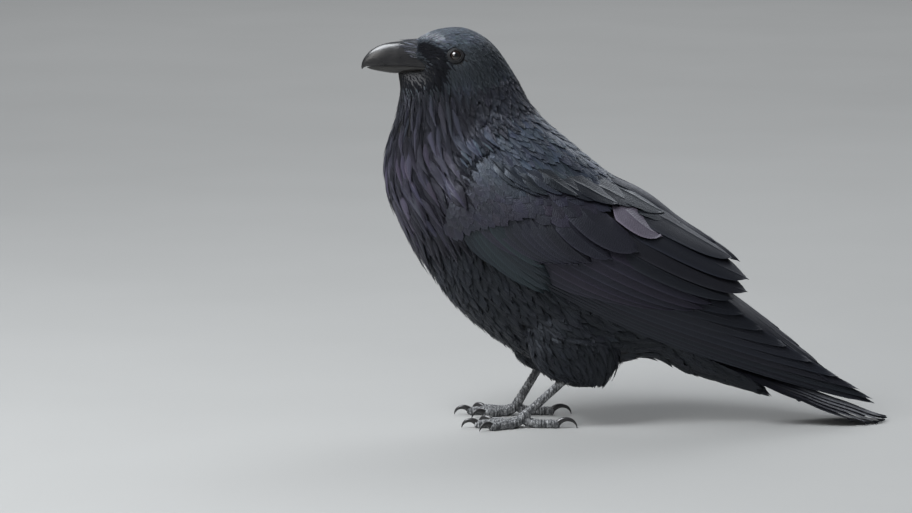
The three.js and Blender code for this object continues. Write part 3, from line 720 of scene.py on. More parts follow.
FLIGHT_FEATHER = feather_material(
    "flight_feathers", roughness=0.44, specular=0.5, gloss_tint=(0.80, 0.84, 1.0),
    sheen=0.03, sheen_tint=(0.6, 0.64, 0.9), barbs=7.0, barb_bump=0.30, shaft=0.035,
    hem_wear_and_glint=2.2)
BRISTLE = feather_material(
    "bristles", roughness=0.42, specular=0.5, gloss_tint=(0.92, 0.95, 1.0),
    sheen=0.03, sheen_tint=(0.7, 0.75, 0.9), barbs=3.0, barb_bump=0.3, shaft=0.2,
    lengthwise=0.8)

# Colours of the feathers under their gloss. Only the black is their own: the blue-grey, violet and teal tints
# and the crown colour are painted sheen, the brow colour and the pale covert colour are painted highlights,
# and the deepest black is the face's own black and also painted shadow.
BLACK = np.array([0.0060, 0.0065, 0.0085])
PAINTED_BLUE_SHEEN = np.array([0.0200, 0.0255, 0.0360])
PAINTED_VIOLET_SHEEN = np.array([0.0150, 0.0130, 0.0205])
PAINTED_TEAL_SHEEN = np.array([0.0080, 0.0125, 0.0150])
DEEPEST_BLACK_AND_SHADE = np.array([0.0025, 0.0025, 0.0030])
PAINTED_CROWN_SHEEN = np.array([0.044, 0.053, 0.070])
PAINTED_BROW_HIGHLIGHT = np.array([0.20, 0.21, 0.23])
PAINTED_COVERT_HIGHLIGHT = np.array([0.055, 0.052, 0.064])


def tints(base, n, rng, spread=0.12):
    """One colour for each feather, a little apart from its neighbours'."""
    base = np.broadcast_to(base, (n, 3))
    return base * (1 + spread * rng.standard_normal((n, 1))) * (1 + 0.05 * rng.standard_normal((n, 3)))


def horn_material(name, dark, pale, roughness, stretch, coat):
    """Horn: dark, with fine lengthwise streaks and scuffs that are paler and rougher."""
    s = Shader(name)
    streak = s.noise(700, 4.0, stretch)
    scuff = s.noise(90, 5.0)
    mark = s.times(s.math("POWER", streak, 2.0), s.math("ADD", scuff, 0.3))
    worn = s.math("MINIMUM", s.times(mark, 2.2), 1.0)
    s.bump(s.line(streak, 0.6, s.times(scuff, 0.6)), 0.30, HORN_RELIEF)
    return s.finish({
        "Base Color": s.mix(worn, dark, pale),
        "Roughness": s.line(scuff, 0.30, roughness - 0.12),
        "Coat Weight": coat,
        "Coat Roughness": 0.22,
    })


ALONG_BILL = (1, 0.10, 1)
BILL_HORN = horn_material("bill_horn", (0.005, 0.005, 0.006), (0.021, 0.020, 0.020), 0.30, ALONG_BILL, 0.4)
LOWER_HORN = horn_material("bill_horn_lower", (0.014, 0.013, 0.013), (0.050, 0.047, 0.044), 0.36,
                           ALONG_BILL, 0.2)
CLAW_HORN = horn_material("claw_horn", (0.007, 0.007, 0.008), (0.030, 0.028, 0.027), 0.28, (1, 1, 1), 0.5)

LEG_GREY, LEG_PALE = (0.30, 0.305, 0.31), (0.66, 0.665, 0.67)
LEG_STREAK, LEG_GROOVE = (0.045, 0.047, 0.050), (0.016, 0.016, 0.017)
DARK_SKIN = (0.006, 0.006, 0.007)
PUPIL, IRIS_DARK, IRIS_BROWN = (0.002, 0.002, 0.002), (0.006, 0.0035, 0.0025), (0.022, 0.011, 0.007)
PUPIL_EDGE, IRIS_EDGE = (0.40, 0.46), (0.72, 0.80)  # as shares of the eyeball's radius


def skin_material():
    """Dark skin under the feathers, and grey scaled skin on the legs, after the attribute bare."""
    s = Shader("scaled_skin")
    cells = s.node("TexVoronoi", Vector=s.place(), Scale=620)
    cells.feature = "DISTANCE_TO_EDGE"
    groove = s.math("MINIMUM", s.times(cells.outputs["Distance"], 9), 1.0)
    worn = s.noise(420, 3.0)
    scale = s.mix(s.noise(130, 4.0), LEG_GREY, LEG_PALE)
    scale = s.mix(0.65, scale, groove, "MULTIPLY")
    streak = s.line(s.noise(620, 3.0, (1, 1, 0.15)), 3.2, -1.3)
    scale = s.mix(s.math("MINIMUM", s.math("MAXIMUM", streak, 0), 1), LEG_STREAK, scale)
    scale = s.mix(s.times(s.attribute("relief"), 0.85), scale, LEG_GROOVE)
    s.bump(s.line(worn, 0.4, groove), 0.35, FINE_RELIEF)
    return s.finish({
        "Base Color": s.mix(s.attribute("bare"), DARK_SKIN, scale),
        "Roughness": s.line(worn, 0.35, 0.34),
        "Specular IOR Level": 0.3,
    })


def eye_material():
    """A wet eye: a black pupil, a dark brown iris with fine rays, and a clear gloss over all."""
    s = Shader("eye")
    radius = s.attribute("from_axis")
    inner = s.mix(s.step(radius, *PUPIL_EDGE), PUPIL, s.mix(s.noise(900, 3.0), IRIS_DARK, IRIS_BROWN))
    return s.finish({
        "Base Color": s.mix(s.step(radius, *IRIS_EDGE), inner, DARK_SKIN),
        "Roughness": 0.12,
        "Coat Weight": 1.0,
        "Coat Roughness": 0.03,
        "Coat IOR": 1.4,
    })


SKIN = skin_material()
EYE_WET = eye_material()

# ================================================================ skin
def coat_depth(t):
    """How deep the skin lies under the tips of the feathers, along the body."""
    return knots(t, (0, 0.7), (1, 0.9), (3, 1.2), (5, 2.4), (7, 4.0), (9, 5.0), (14, 6.0), (16, 6.0),
                 (18, 3.0))


def body_skin():
    t = np.concatenate([np.linspace(0, 5, 110)[:-1], np.linspace(5, LAST_STATION, 90)])
    tt, theta = np.meshgrid(t, circle(160), indexing="ij")
    return loft(body_surface(tt, theta, -coat_depth(tt))[:, ::-1])


def thigh_skin(leg):
    t, angle = np.meshgrid(np.linspace(0, len(leg["thigh"]) - 1, 40), circle(72), indexing="ij")
    depth = knots(t, (0, 5), (3, 4.5), (5, 3), (6, 1.5))
    return loft(thigh_surface(leg)(t, angle, -depth)[::-1])


WING_FLESH_A = (2, 190)
WING_FLESH_DEPTH, WING_FLESH_THICK = 5.0, 22
WING_FLESH_LOW = ((0, 4), (12, -8), (40, -18), (90, -24), (130, -8), (170, 20), (195, 52))


def wing_skin(side):
    """The flesh and wing-feather roots in the folded wing, sunk under the coverts."""
    rings = []
    for a in np.linspace(*WING_FLESH_A, 40):
        back = along_table(FLANK, np.array([a]))[0, 2]
        b = np.linspace(knots(a, *WING_FLESH_LOW), back - 3, 22)
        x = np.maximum(flank(np.full_like(b, a), b) - WING_FLESH_DEPTH, 1.0)
        outer = wing_point(side * x, np.full_like(b, a), b)
        inner = wing_point(side * np.maximum(x - WING_FLESH_THICK, 0.4), np.full_like(b, a), b)[::-1]
        rings.append(np.concatenate([outer, inner])[::side])
    return loft(np.array(rings)[::-1])


# Section through a lid: distance from the eye's axis and height along it. The rim lies on the eyeball.
LID_PROFILE = ((4.75, 4.0), (4.80, 4.55), (4.95, 4.95), (5.3, 5.15), (5.7, 5.05), (6.05, 4.65), (6.3, 4.45),
               (6.6, 4.62), (6.95, 4.62), (7.3, 4.3), (7.8, 3.9), (8.4, 3.1), (8.8, 1.5), (8.8, -2),
               (4.3, -2))
LID_OUTER = 8.0


def eyelid_skin(side):
    """The two lids as a ring round the eye, with a swollen rim and a fold behind it."""
    angles = circle(120)[:, None]
    rho, height = np.array(LID_PROFILE).T
    corners = 0.09 * np.maximum(0, np.cos(angles)) ** 10 + 0.05 * np.maximum(0, -np.cos(angles)) ** 10
    rho = rho * (1 + corners) * (1 - 0.05 * np.abs(np.sin(angles)))
    rings = eye_point(side, rho, angles, np.broadcast_to(height, rho.shape))[:, ::side]
    count, sides = rings.shape[:2]
    quads = grid_faces(count, sides)
    here, after = np.arange(sides), (np.arange(sides) + 1) % sides
    last = (count - 1) * sides
    quads = np.concatenate([quads, np.stack([last + here, last + after, after, here], -1)])
    return rings.reshape(-1, 3), quads.ravel(), np.full(len(quads), 4)


# ---------------------------------------------------------------- legs
SCUTE_TARSUS, SCUTE_TOE = 4.6, 3.1   # lengths of one scute on the shin and on a toe
SCUTE_STEP = 0.62                    # how far a scute's far edge stands over the next
SCUTE_RISE = 0.86                    # the share of a scute over which it rises
PAD_SWELL = 0.7                      # how far a toe's pads swell
TARSUS_PLACES = (-0.12, 0, 0.1, 0.25, 0.6, 0.85, 1)
TARSUS_RADII = (3.6, 4.2, 5.0, 3.9, TARSUS_RADIUS, TARSUS_RADIUS + 0.3, 5.0)
TOE_PLACES = (0.02, 0.2, 0.4, 0.6, 0.8, 0.97, 1.05)
TOE_HEIGHTS = (8.2, 5.4, 3.9, 3.8, 3.7, 3.6, 4.3)
TOE_RADII = np.array([1, 1, 1.04, 0.95, 1, 0.93, 0.62]) * (TOE_RADIUS - 0.2)

limb_lines = []  # points along the middle of each scaled limb, with how dark the groove is there


def tube(points, radii, scute, pads, sides=40, step=0.45):
    """A scaled limb: overlapping scutes on its upper side, swollen pads below, and flat on the ground."""
    points = np.array(points, float)
    t = np.linspace(0, len(points) - 1, 400)
    path = catmull(points, t)
    run = np.concatenate([[0], np.cumsum(np.linalg.norm(np.diff(path, axis=0), axis=1))])
    places = np.interp(np.arange(0, run[-1], step), run, t)
    path = catmull(points, places)
    radius = np.interp(places, np.arange(len(radii)), radii)[:, None]
    tangent = unit(np.gradient(path, axis=0))
    side = unit(np.cross([0, 0, 1], tangent))
    up = np.cross(tangent, side)
    travelled = np.arange(len(path)) * step
    part = (travelled / scute) % 1.0
    tooth = np.where(part < SCUTE_RISE, part / SCUTE_RISE, (1 - part) / (1 - SCUTE_RISE))
    limb_lines.append(np.column_stack([path, np.clip(1 - np.abs(part - 0.95) / 0.11, 0, 1)]))
    angle = circle(sides)
    top, low = smooth((np.sin(angle) + 0.15) / 0.45), smooth((-np.sin(angle) - 0.1) / 0.5)
    pad = np.sin(math.pi * travelled / (scute * 3)) ** 2
    r = radius - 0.18 + SCUTE_STEP * tooth[:, None] * top + pads * pad[:, None] * low
    ring = path[:, None] + side[:, None] * (r * np.cos(angle))[..., None] + up[:, None] * (
        r * np.sin(angle))[..., None]
    ring[..., 2] = np.maximum(ring[..., 2], 0)
    return loft(ring)


def toe_line(leg, turn, long):
    """Points along a toe, and the direction in which it runs."""
    bearing = math.radians(turn) * leg["side"]
    out = np.array([math.sin(bearing), -math.cos(bearing), 0])
    reach = long * leg["reach"] / 43
    x, y, _ = leg["foot"]
    return [np.array([x, y, high]) + out * reach * u for u, high in zip(TOE_PLACES, TOE_HEIGHTS)], out


def shin(leg):
    """The ankle, and the way from there down to the foot."""
    ankle = np.array(leg["ankle"], float)
    return ankle, np.array(leg["foot"], float) - ankle


def leg_skin(leg):
    """The tarsus and the four toes as tubes that run into each other."""
    ankle, down = shin(leg)
    tarsus = tube([ankle + down * u for u in TARSUS_PLACES], TARSUS_RADII, SCUTE_TARSUS, 0.0)
    toes = [tube(toe_line(leg, turn, long)[0], TOE_RADII, SCUTE_TOE, PAD_SWELL) for turn, long, _ in TOES]
    return [tarsus] + toes


def join_parts(name, parts):
    """One mesh object of several closed shells."""
    points, loops, sizes = zip(*parts)
    starts = np.concatenate([[0], np.cumsum([len(part) for part in points])[:-1]])
    loops = [corners + start for corners, start in zip(loops, starts)]
    joined = [np.concatenate(part) for part in (points, loops, sizes)]
    return make_mesh(name, *joined, SKIN, sharp=0)


def apply_modifiers(piece):
    """Replaces a piece's mesh by the one that its modifiers make."""
    evaluated = piece.evaluated_get(bpy.context.evaluated_depsgraph_get())
    mesh = bpy.data.meshes.new_from_object(evaluated)
    piece.modifiers.clear()
    piece.data = mesh
    return piece


def fuse(piece, voxel):
    """Melts overlapping shells into one surface."""
    remesh = piece.modifiers.new("fuse", "REMESH")
    remesh.mode = "VOXEL"
    remesh.voxel_size = voxel * MM
    return apply_modifiers(piece)


def unite(piece, other):
    """Adds a second closed body to a first one and leaves one surface."""
    joint = piece.modifiers.new("unite", "BOOLEAN")
    joint.operation = "UNION"
    joint.solver = "MANIFOLD"
    joint.object = other
    apply_modifiers(piece)
    bpy.data.objects.remove(other)
    return piece


LID_BARE = 0.03        # the lids are nearly as dark as the skin under the feathers
TARSUS_BARE_WITHIN = 6.2
FOOT_BARE_WITHIN, FOOT_BARE_BELOW = 60, 13


def bareness(points):
    """1 on the scaled skin of the legs, a little on the lids, 0 under the feathers."""
    bare = np.zeros(len(points))
    for leg in LEGS:
        ankle, down = shin(leg)
        share = np.clip(((points - ankle) @ down) / (down @ down), -0.15, 1)
        away = np.linalg.norm(points - (ankle + share[:, None] * down), axis=1)
        foot = (points[:, 2] < FOOT_BARE_BELOW) & (away < FOOT_BARE_WITHIN)
        bare = np.maximum(bare, (away < TARSUS_BARE_WITHIN) | foot)
        rho = np.hypot(points[:, 1] - EYE["y"], points[:, 2] - EYE["z"])
        lid = (rho < LID_OUTER + 0.1) & (points[:, 0] * leg["side"] > EYE["x"] + 1.5)
        bare = np.maximum(bare, LID_BARE * lid)
    return bare


def groove_depth(points, bare):
    """How dark the groove between two scutes is at each point of the bare skin."""
    lines = np.concatenate(limb_lines)
    tree = tree_of(lines[:, :3])
    relief = np.zeros(len(points))
    for i in np.flatnonzero(bare > 0.5):
        relief[i] = lines[tree.find(points[i])[1], 3]
    return relief


def build_skin():
    skin = join_parts("skin", [body_skin()])
    for leg in LEGS:
        skin = unite(skin, join_parts("thigh_part", [thigh_skin(leg)]))
        skin = unite(skin, join_parts("wing_part", [wing_skin(leg["side"])]))
        skin = unite(skin, join_parts("lid_part", [eyelid_skin(leg["side"])]))
        skin = unite(skin, fuse(join_parts("leg_part", leg_skin(leg)), 0.4))
    mesh = skin.data
    points = np.empty(len(mesh.vertices) * 3, np.float32)
    mesh.vertices.foreach_get("co", points)
    points = points.reshape(-1, 3) / MM
    bare = bareness(points)
    put_values(mesh, "bare", bare)
    put_values(mesh, "relief", groove_depth(points, bare))
    mesh.polygons.foreach_set("use_smooth", np.ones(len(mesh.polygons), bool))
    if not mesh.materials:
        mesh.materials.append(SKIN)
    flesh = ["head", "neck", "trunk"]
    for leg in LEGS:
        word = leg["name"]
        flesh += [f"thigh_{word}", f"tarsus_{word}"] + [f"toe_{word}_{i + 1}" for i in range(4)]
    show(skin, flesh)


build_skin()

# ================================================================ bill, eyes and claws
# How the horn draws in from its solids, in the columns of the two tables.
UPPER_INSET = np.array([0, 0, 0, 0.15, 0])
LOWER_INSET = np.array([0, 0, 0, -0.35, -0.15])
CHIN_LINE = ((-222, 0), (-212, 334.5), (-178, 336))  # y, and the least z of the lower horn there


def bill_rings(stations, lift, count=110, steps=46, overhang=0.0):
    """Arched sections that stand on the cutting edge, flat there and round over the ridge.

    lift is 1 for the upper bill and -1 for the lower one; overhang is how far its edges pass the other's.
    """
    t = 1e-3 + np.linspace(0, 1, count) ** 1.25 * (len(stations) - 1.001)
    ry, rz, ey, ez, half = [column[:, None] for column in catmull(stations, t).T]
    angle = np.linspace(0, math.pi, steps)
    rise = np.sin(angle) ** 0.8
    z = ez - lift * overhang * np.abs(np.cos(angle)) ** 6 + (rz - ez) * rise
    return np.stack([half * np.cos(angle), ey + (ry - ey) * rise, z], -1)


def build_bill():
    upper = bill_rings(UPPER_BILL + UPPER_INSET, 1, overhang=0.5)
    piece = make_mesh("bill_upper_horn", *loft(upper[:, ::-1]), BILL_HORN, sharp=50)
    show(piece, ["bill_upper"])
    # The chin's feathers hide the rear of the lower bill's underside, so the horn is drawn up there.
    stations = LOWER_BILL + LOWER_INSET
    stations[:, 1] = np.maximum(stations[:, 1], knots(stations[:, 0], *CHIN_LINE))
    piece = make_mesh("bill_lower_horn", *loft(bill_rings(stations, -1)), LOWER_HORN, sharp=50)
    show(piece, ["bill_lower"])


def build_eye(word, side):
    """An eyeball with a slightly domed front; from_axis is 0 at its pole and 1 at its equator."""
    polar, around = np.meshgrid(np.linspace(0.02, math.pi - 0.02, 50), circle(64), indexing="ij")
    radius = EYE["radius"] * (1 + 0.03 * np.exp(-(polar / 0.55) ** 2))
    rings = eye_point(side, radius * np.sin(polar), around, radius * np.cos(polar))[:, ::side]
    from_axis = np.where(polar < math.pi / 2, np.sin(polar), 1)
    values = {"from_axis": from_axis.ravel()}
    piece = make_mesh(f"eyeball_{word}", *loft(rings), EYE_WET, values=values, sharp=0)
    show(piece, [f"eye_{word}"])


CLAW_SWEEP, CLAW_START = math.radians(125), math.radians(38)
CLAW_ROOT_RADIUS, CLAW_TIP_RADIUS, CLAW_FLATNESS = 2.9, 0.22, 0.8
CLAW_LOWEST = 0.1


def build_claw(leg, index):
    """A claw springs up from the end of its toe and curls down to the ground; it is narrower than tall."""
    turn, long_toe, long = TOES[index]
    points, out = toe_line(leg, turn, long_toe)
    radius = long / CLAW_SWEEP
    base = points[5] + out * 1.8
    base[2] = 5
    u = np.linspace(-0.12, 1, 40)
    share = np.clip(u, 0, 1)
    angle = CLAW_START - CLAW_SWEEP * u
    path = base + out * (radius * (math.sin(CLAW_START) - np.sin(angle)))[:, None]
    path[:, 2] = base[2] + radius * (np.cos(angle) - math.cos(CLAW_START))
    thick = CLAW_ROOT_RADIUS * (1 - share) ** 0.8 + CLAW_TIP_RADIUS
    path[:, 2] += max(CLAW_LOWEST - (path[:, 2] - thick).min(), 0) * share
    side = np.cross([0, 0, 1], out)
    up = np.cross(unit(np.gradient(path, axis=0)), side)
    around = circle(28)
    r = thick[:, None] * (1 - 0.16 * np.exp(-((around - 1.5 * math.pi) / 0.4) ** 2))  # grooved below
    rings = path[:, None] + side * (CLAW_FLATNESS * r * np.cos(around))[..., None] + up[:, None] * (
        r * np.sin(around))[..., None]
    rings[..., 2] = np.maximum(rings[..., 2], CLAW_LOWEST / 2)
    name = f"claw_{leg['name']}_{index + 1}"
    show(make_mesh(f"horn_{name}", *loft(rings), CLAW_HORN, sharp=50), [name])


build_bill()
for leg in LEGS:
    build_eye(leg["name"], leg["side"])
    for toe in range(len(TOES)):
        build_claw(leg, toe)

# ================================================================ plumage of head, neck and trunk
def belly_share(theta):
    """0 on the back, 1 on the breast and belly."""
    return ((1 - np.cos(theta)) / 2) ** 1.3


def in_wing(points, margin):
    """Whether points lie under the folded wing, at least margin inside its outline."""
    a, b = to_wing(points)
    low = knots(a, (-8, 30), (0, 4), (12, -14), (38, -26), (68, -34), (115, -37), (180, -32), (240, -24))
    shell = flank(a, b)
    return (a > margin - 6) & (a < 300) & (b > low + margin) & (np.abs(points[..., 0]) < shell - 1)


COVERED_THIGH_Z = (45, 100)  # between these heights the body's feathers leave the thigh to its own


def in_thigh(points, margin):
    """Whether points lie in a thigh, at least margin inside its surface."""
    inside = np.zeros(points.shape[:-1], bool)
    for leg in LEGS:
        y, x, long, wide = thigh_section(leg, points[..., 2])
        r = ((points[..., 0] - x) / (wide - margin)) ** 2 + ((points[..., 1] - y) / (long - margin)) ** 2
        low, high = COVERED_THIGH_Z
        inside |= (r < 1) & (points[..., 2] < high) & (points[..., 2] > low)
    return inside


LID_CENTRE_Z = EYE["z"] + 1.3
SIDE_X = 8  # points further out than this belong to one side of the bird


def by_eye(points, radius):
    rho = np.hypot(points[..., 1] - EYE["y"], points[..., 2] - LID_CENTRE_Z)
    return (rho < radius) & (np.abs(points[..., 0]) > SIDE_X)


def room_before_eye(points, ahead):
    """How far a feather can run from its root along ahead before it would lie over a lid."""
    offset = np.stack([points[:, 1] - EYE["y"], points[:, 2] - LID_CENTRE_Z], -1)
    way = ahead[:, 1:3] / np.maximum(np.linalg.norm(ahead[:, 1:3], axis=1), 1e-6)[:, None]
    along = -(offset * way).sum(1)
    miss = np.sqrt(np.maximum((offset ** 2).sum(1) - along ** 2, 0))
    hits = (along > 0) & (miss < LID_OUTER) & (np.abs(points[:, 0]) > SIDE_X)
    chord = np.sqrt(np.maximum(LID_OUTER ** 2 - miss ** 2, 0))
    return np.where(hits, np.maximum(along - chord, 0), 1e3)


def body_values(t, theta):
    """Length and width of the feathers, how pointed they are, and their distance apart, over the body."""
    w = belly_share(theta)
    back_long = knots(t, (0, 2.4), (1, 3.2), (2, 4.0), (3, 5.2), (4, 7), (5, 11), (6, 17), (7, 23), (8, 27),
                      (10, 30), (14, 32), (16, 38), (18, 46))
    front_long = knots(t, (0, 3.5), (1, 8), (2, 14), (3, 22), (4, 29), (5, 36), (7, 39), (8, 35), (9, 29),
                       (10, 25), (12, 23), (14, 26), (16, 36), (18, 46))
    back_wide = knots(t, (0, 1.1), (2, 1.7), (3, 2.2), (4, 3.4), (5, 4.6), (6, 6.5), (8, 10), (10, 13),
                      (18, 18))
    front_wide = knots(t, (0, 1.2), (1, 2.4), (2, 4.2), (3, 5.4), (4, 6.2), (5, 7.6), (6, 8.6), (8, 9.2),
                       (9, 8), (10, 6.6), (12, 6.4), (14, 8), (16, 13), (18, 15))
    pointed = knots(t, (0, 0.5), (1.5, 0.8), (3, 1.0), (8, 1.0), (9.5, 0.6), (12, 0.4), (18, 0.15))
    tight = knots(t, (0, 0.34), (2, 0.36), (4, 0.32), (6, 0.27), (8, 0.27), (10, 0.32), (13, 0.33),
                  (18, 0.36))
    long = back_long * (1 - w) + front_long * w
    wide = back_wide * (1 - w) + front_wide * w
    return long, wide, pointed * np.clip(1.6 * w, 0.15, 1), np.sqrt(long * wide) * tight


def body_spacing(t, theta):
    return np.clip(body_values(t, theta)[3], 0.85, 6.0)


def spot_at(points, y, z, long, tall):
    """1 at a place on the side of the bird, fading out over the given lengths."""
    return np.exp(-((points[:, 1] - y) / long) ** 2 - ((points[:, 2] - z) / tall) ** 2)


def lores_black_and_painted_shadow(points):
    """How black the face is: full before the eye, where the lores are black, and along the gape and under the
    bill, where the black is painted shadow.
    """
    lores = spot_at(points, -181, 351, 11, 8.5) + 0.8 * spot_at(points, -193, 358, 9, 6.5)
    # Painted shadow: beside the mouth and under the bill.
    painted_gape_and_chin_shadow = spot_at(points, -182, 337, 8, 6) + spot_at(points, -206, 330, 20, 8.5)
    return np.clip(1.6 * lores + 1.5 * painted_gape_and_chin_shadow, 0, 1)


def towards(color, other, share):
    """A colour, or one for each feather, moved towards another by a share for each feather."""
    return color + (other - color) * share[:, None]


def body_tint(points, t, theta, rng):
    """Painted sheen, blue-grey on the crown, cheek and shoulder and violet-grey on the breast, a painted
    highlight on the brow, the face's own black before the eye, and painted shadow along the gape and under
    the bill.
    """
    # Painted sheen: the top of the head is tinted blue-grey where it faces the light from above.
    crown = smooth((points[:, 2] - 356 - 0.25 * (points[:, 1] + 160)) / 12) * ramp(points[:, 1], -118, -148)
    # Painted sheen: the cheek is tinted blue-grey for the sky that it reflects.
    painted_cheek_sheen = spot_at(points, -158, 328, 15, 8)
    # Painted sheen: the breast is tinted violet-grey for its gloss.
    painted_breast_sheen = ramp(t, 3, 5) * ramp(t, 10.5, 7.5) * belly_share(theta) ** 2
    a, b = to_wing(points)
    # Painted sheen: the shoulder's top, where the light from above falls, is tinted blue-grey.
    painted_shoulder_sheen = ramp(a, -34, -10) * ramp(b, 26, 46) * ramp(t, 4, 6) * ramp(t, 12, 10)
    behind_eye = spot_at(points, -140, 340, 10, 15)
    # Painted highlight: a bright rim on the brow, where the feathers above the lores catch the light.
    painted_brow_highlight = 1.3 * spot_at(points, -193, 369.5, 9, 3.0) + spot_at(points, -180, 368, 5, 3.2)
    color = towards(BLACK, PAINTED_CROWN_SHEEN, crown * rng.uniform(0.45, 1.2, len(t)))
    color = color + (PAINTED_BLUE_SHEEN - BLACK) * (0.8 * painted_cheek_sheen)[:, None]
    color = towards(color, PAINTED_VIOLET_SHEEN, 0.8 * painted_breast_sheen)
    color = towards(color, PAINTED_BLUE_SHEEN * 0.8, 0.8 * painted_shoulder_sheen)
    # The face before the eye is its own black; along the gape and under the bill the black is painted shadow.
    color = towards(color, DEEPEST_BLACK_AND_SHADE, np.clip(lores_black_and_painted_shadow(points) + 0.6 * behind_eye, 0, 1))
    return tints(towards(color, PAINTED_BROW_HIGHLIGHT, np.clip(painted_brow_highlight, 0, 0.9)), len(t), rng)


def map_place(low_u, high_u, low_v, high_v):
    """Turns two coordinates of a surface into a place in the map OFBake, a little inside its edges."""
    def place(u, v):
        return np.stack([0.01 + 0.98 * (u - low_u) / (high_u - low_u),
                         0.01 + 0.98 * (v - low_v) / (high_v - low_v)], -1)
    return place


def body_place(t_range):
    unrolled = map_place(0, TURN, *t_range)
    return lambda t, theta: unrolled(theta % TURN, np.clip(t, *t_range))


def dressed_surface(t, theta):
    """The body with its coat run out over the shoulders of the folded wings and over the hips."""
    points = body_surface(t, theta)
    y, z = points[..., 1], points[..., 2]
    a, b = to_wing(points)
    onto = ramp(a, -18, -2) * ramp(b, -12, 4) * ramp(a, 100, 60)
    out = np.abs(points[..., 0])
    lifted = out + onto * np.maximum(flank(a, b) + 1.6 - out, 0)
    for leg in LEGS:
        middle, x, long, wide = thigh_section(leg, z)
        bulge = np.sqrt(np.maximum(1 - ((y - middle) / long) ** 2, 0))
        own = (points[..., 0] * leg["side"] > SIDE_X) & (bulge > 0)
        rear = smooth((y - middle + 0.95 * long) / (0.7 * long))
        reach = ramp(z, 55, 85) * ramp(z, 150, 108) * rear * own
        lifted = lifted + reach * np.maximum(np.abs(x) + wide * bulge + 1.2 - lifted, 0)
    share = np.where(out > 6, lifted / np.maximum(out, 1e-3), 1)
    return points * np.stack([share, np.ones_like(share), np.ones_like(share)], -1)


DRESSED_GROUND = Ground(dressed_surface, -1, BODY_STEPS)


def shorter_on_wing(points, long, wide):
    """Feathers rooted near the wing end a little way on to it, short of where its own coverts show."""
    a, b = to_wing(points)
    end = knots(b, (-12, 6), (10, 7), (40, 5), (60, 14), (90, 34))
    shorter = np.minimum(long, np.maximum(end - a, 12))
    cut = np.where(in_wing(points, -10) & (b > -12), shorter, long)
    return cut, wide * (cut / long) ** 0.6


def cape_front(b):
    """Where along a the cape begins under the feathers of the neck."""
    return knots(b, (44, -12), (60, -12), (80, -8), (100, 2), (120, 10))


def beneath_wing(points):
    """Where body feathers would be hidden by the wing: further back on the shoulder than on the wrist."""
    a, b = to_wing(points)
    front = knots(b, (40, -2), (60, -4), (80, 2), (100, 16), (120, 26))
    rump = (a > 150) & (np.abs(points[..., 0]) < 26)
    cape = (a > front + 6) & (b > 45)
    return (in_wing(points, 6) & (a > front) & ~rump) | cape


NECK_RANGE = (1.2, 9.4)     # the part of the body that the neck's feathers take in the map OFBake
HACKLE_RANGE = (1.6, 9.3)


def hackle_spacing(t, theta):
    return knots(t, (1.6, 3.2), (2.4, 4.2), (4, 6.2), (6, 7.6), (9.4, 8.0))


def hackle_keep(t, theta, points):
    throat = belly_share(theta) > knots(t, (1.6, 0.85), (2.4, 0.75), (4, 0.5), (6, 0.25), (9, 0.35))
    return throat & ~(beneath_wing(points) | by_eye(points, LID_OUTER + 14))


def add_hackles(coat):
    """Long, narrow, pointed feathers of the throat and breast, loose over the coat below them."""
    rng = coat.rng
    t, theta = scatter(BODY_GROUND, HACKLE_RANGE, (0, TURN), hackle_spacing, 17, hackle_keep)
    n = len(t)
    points = body_surface(t, theta)
    long = knots(t, (1.6, 9), (2.4, 15), (4, 29), (6, 38), (8, 38), (9.3, 30)) * rng.uniform(0.8, 1.2, n)
    wide = knots(t, (1.6, 2.6), (2.4, 3.8), (4, 6.4), (6, 8.6), (8, 9.4), (9.3, 8.6))
    wide = wide * rng.uniform(0.75, 1.2, n)
    long, wide = shorter_on_wing(points, long, wide)
    turn, aside, _ = tufts(BODY_GROUND, t, theta, 1.7 * hackle_spacing(t, theta), long, 0.5, rng)
    # Painted highlight: the hackles of the upper breast get a brighter tint for their sheen.
    sheen = 1 + 2.2 * ramp(t, 2, 4) * ramp(t, 9.2, 7.2)
    lay(coat, plain_vane(8, 4), DRESSED_GROUND, t, theta, long=long, wide=wide, root_depth=1.2,
        tip_depth=-0.5 - 0.9 * np.abs(rng.standard_normal(n)) + 0.8 * aside, point=1.0,
        arch=rng.uniform(0.3, 0.45, n), yaw=turn + rng.normal(0, 0.05, n), curl=rng.normal(0, 0.12, n),
        ragged=0.07, place=body_place(NECK_RANGE), tone=rng.uniform(0.0, 1.5, n) ** 1.4 - 0.1, fade=0.8,
        tint=body_tint(points, t, theta, rng) * sheen[:, None])


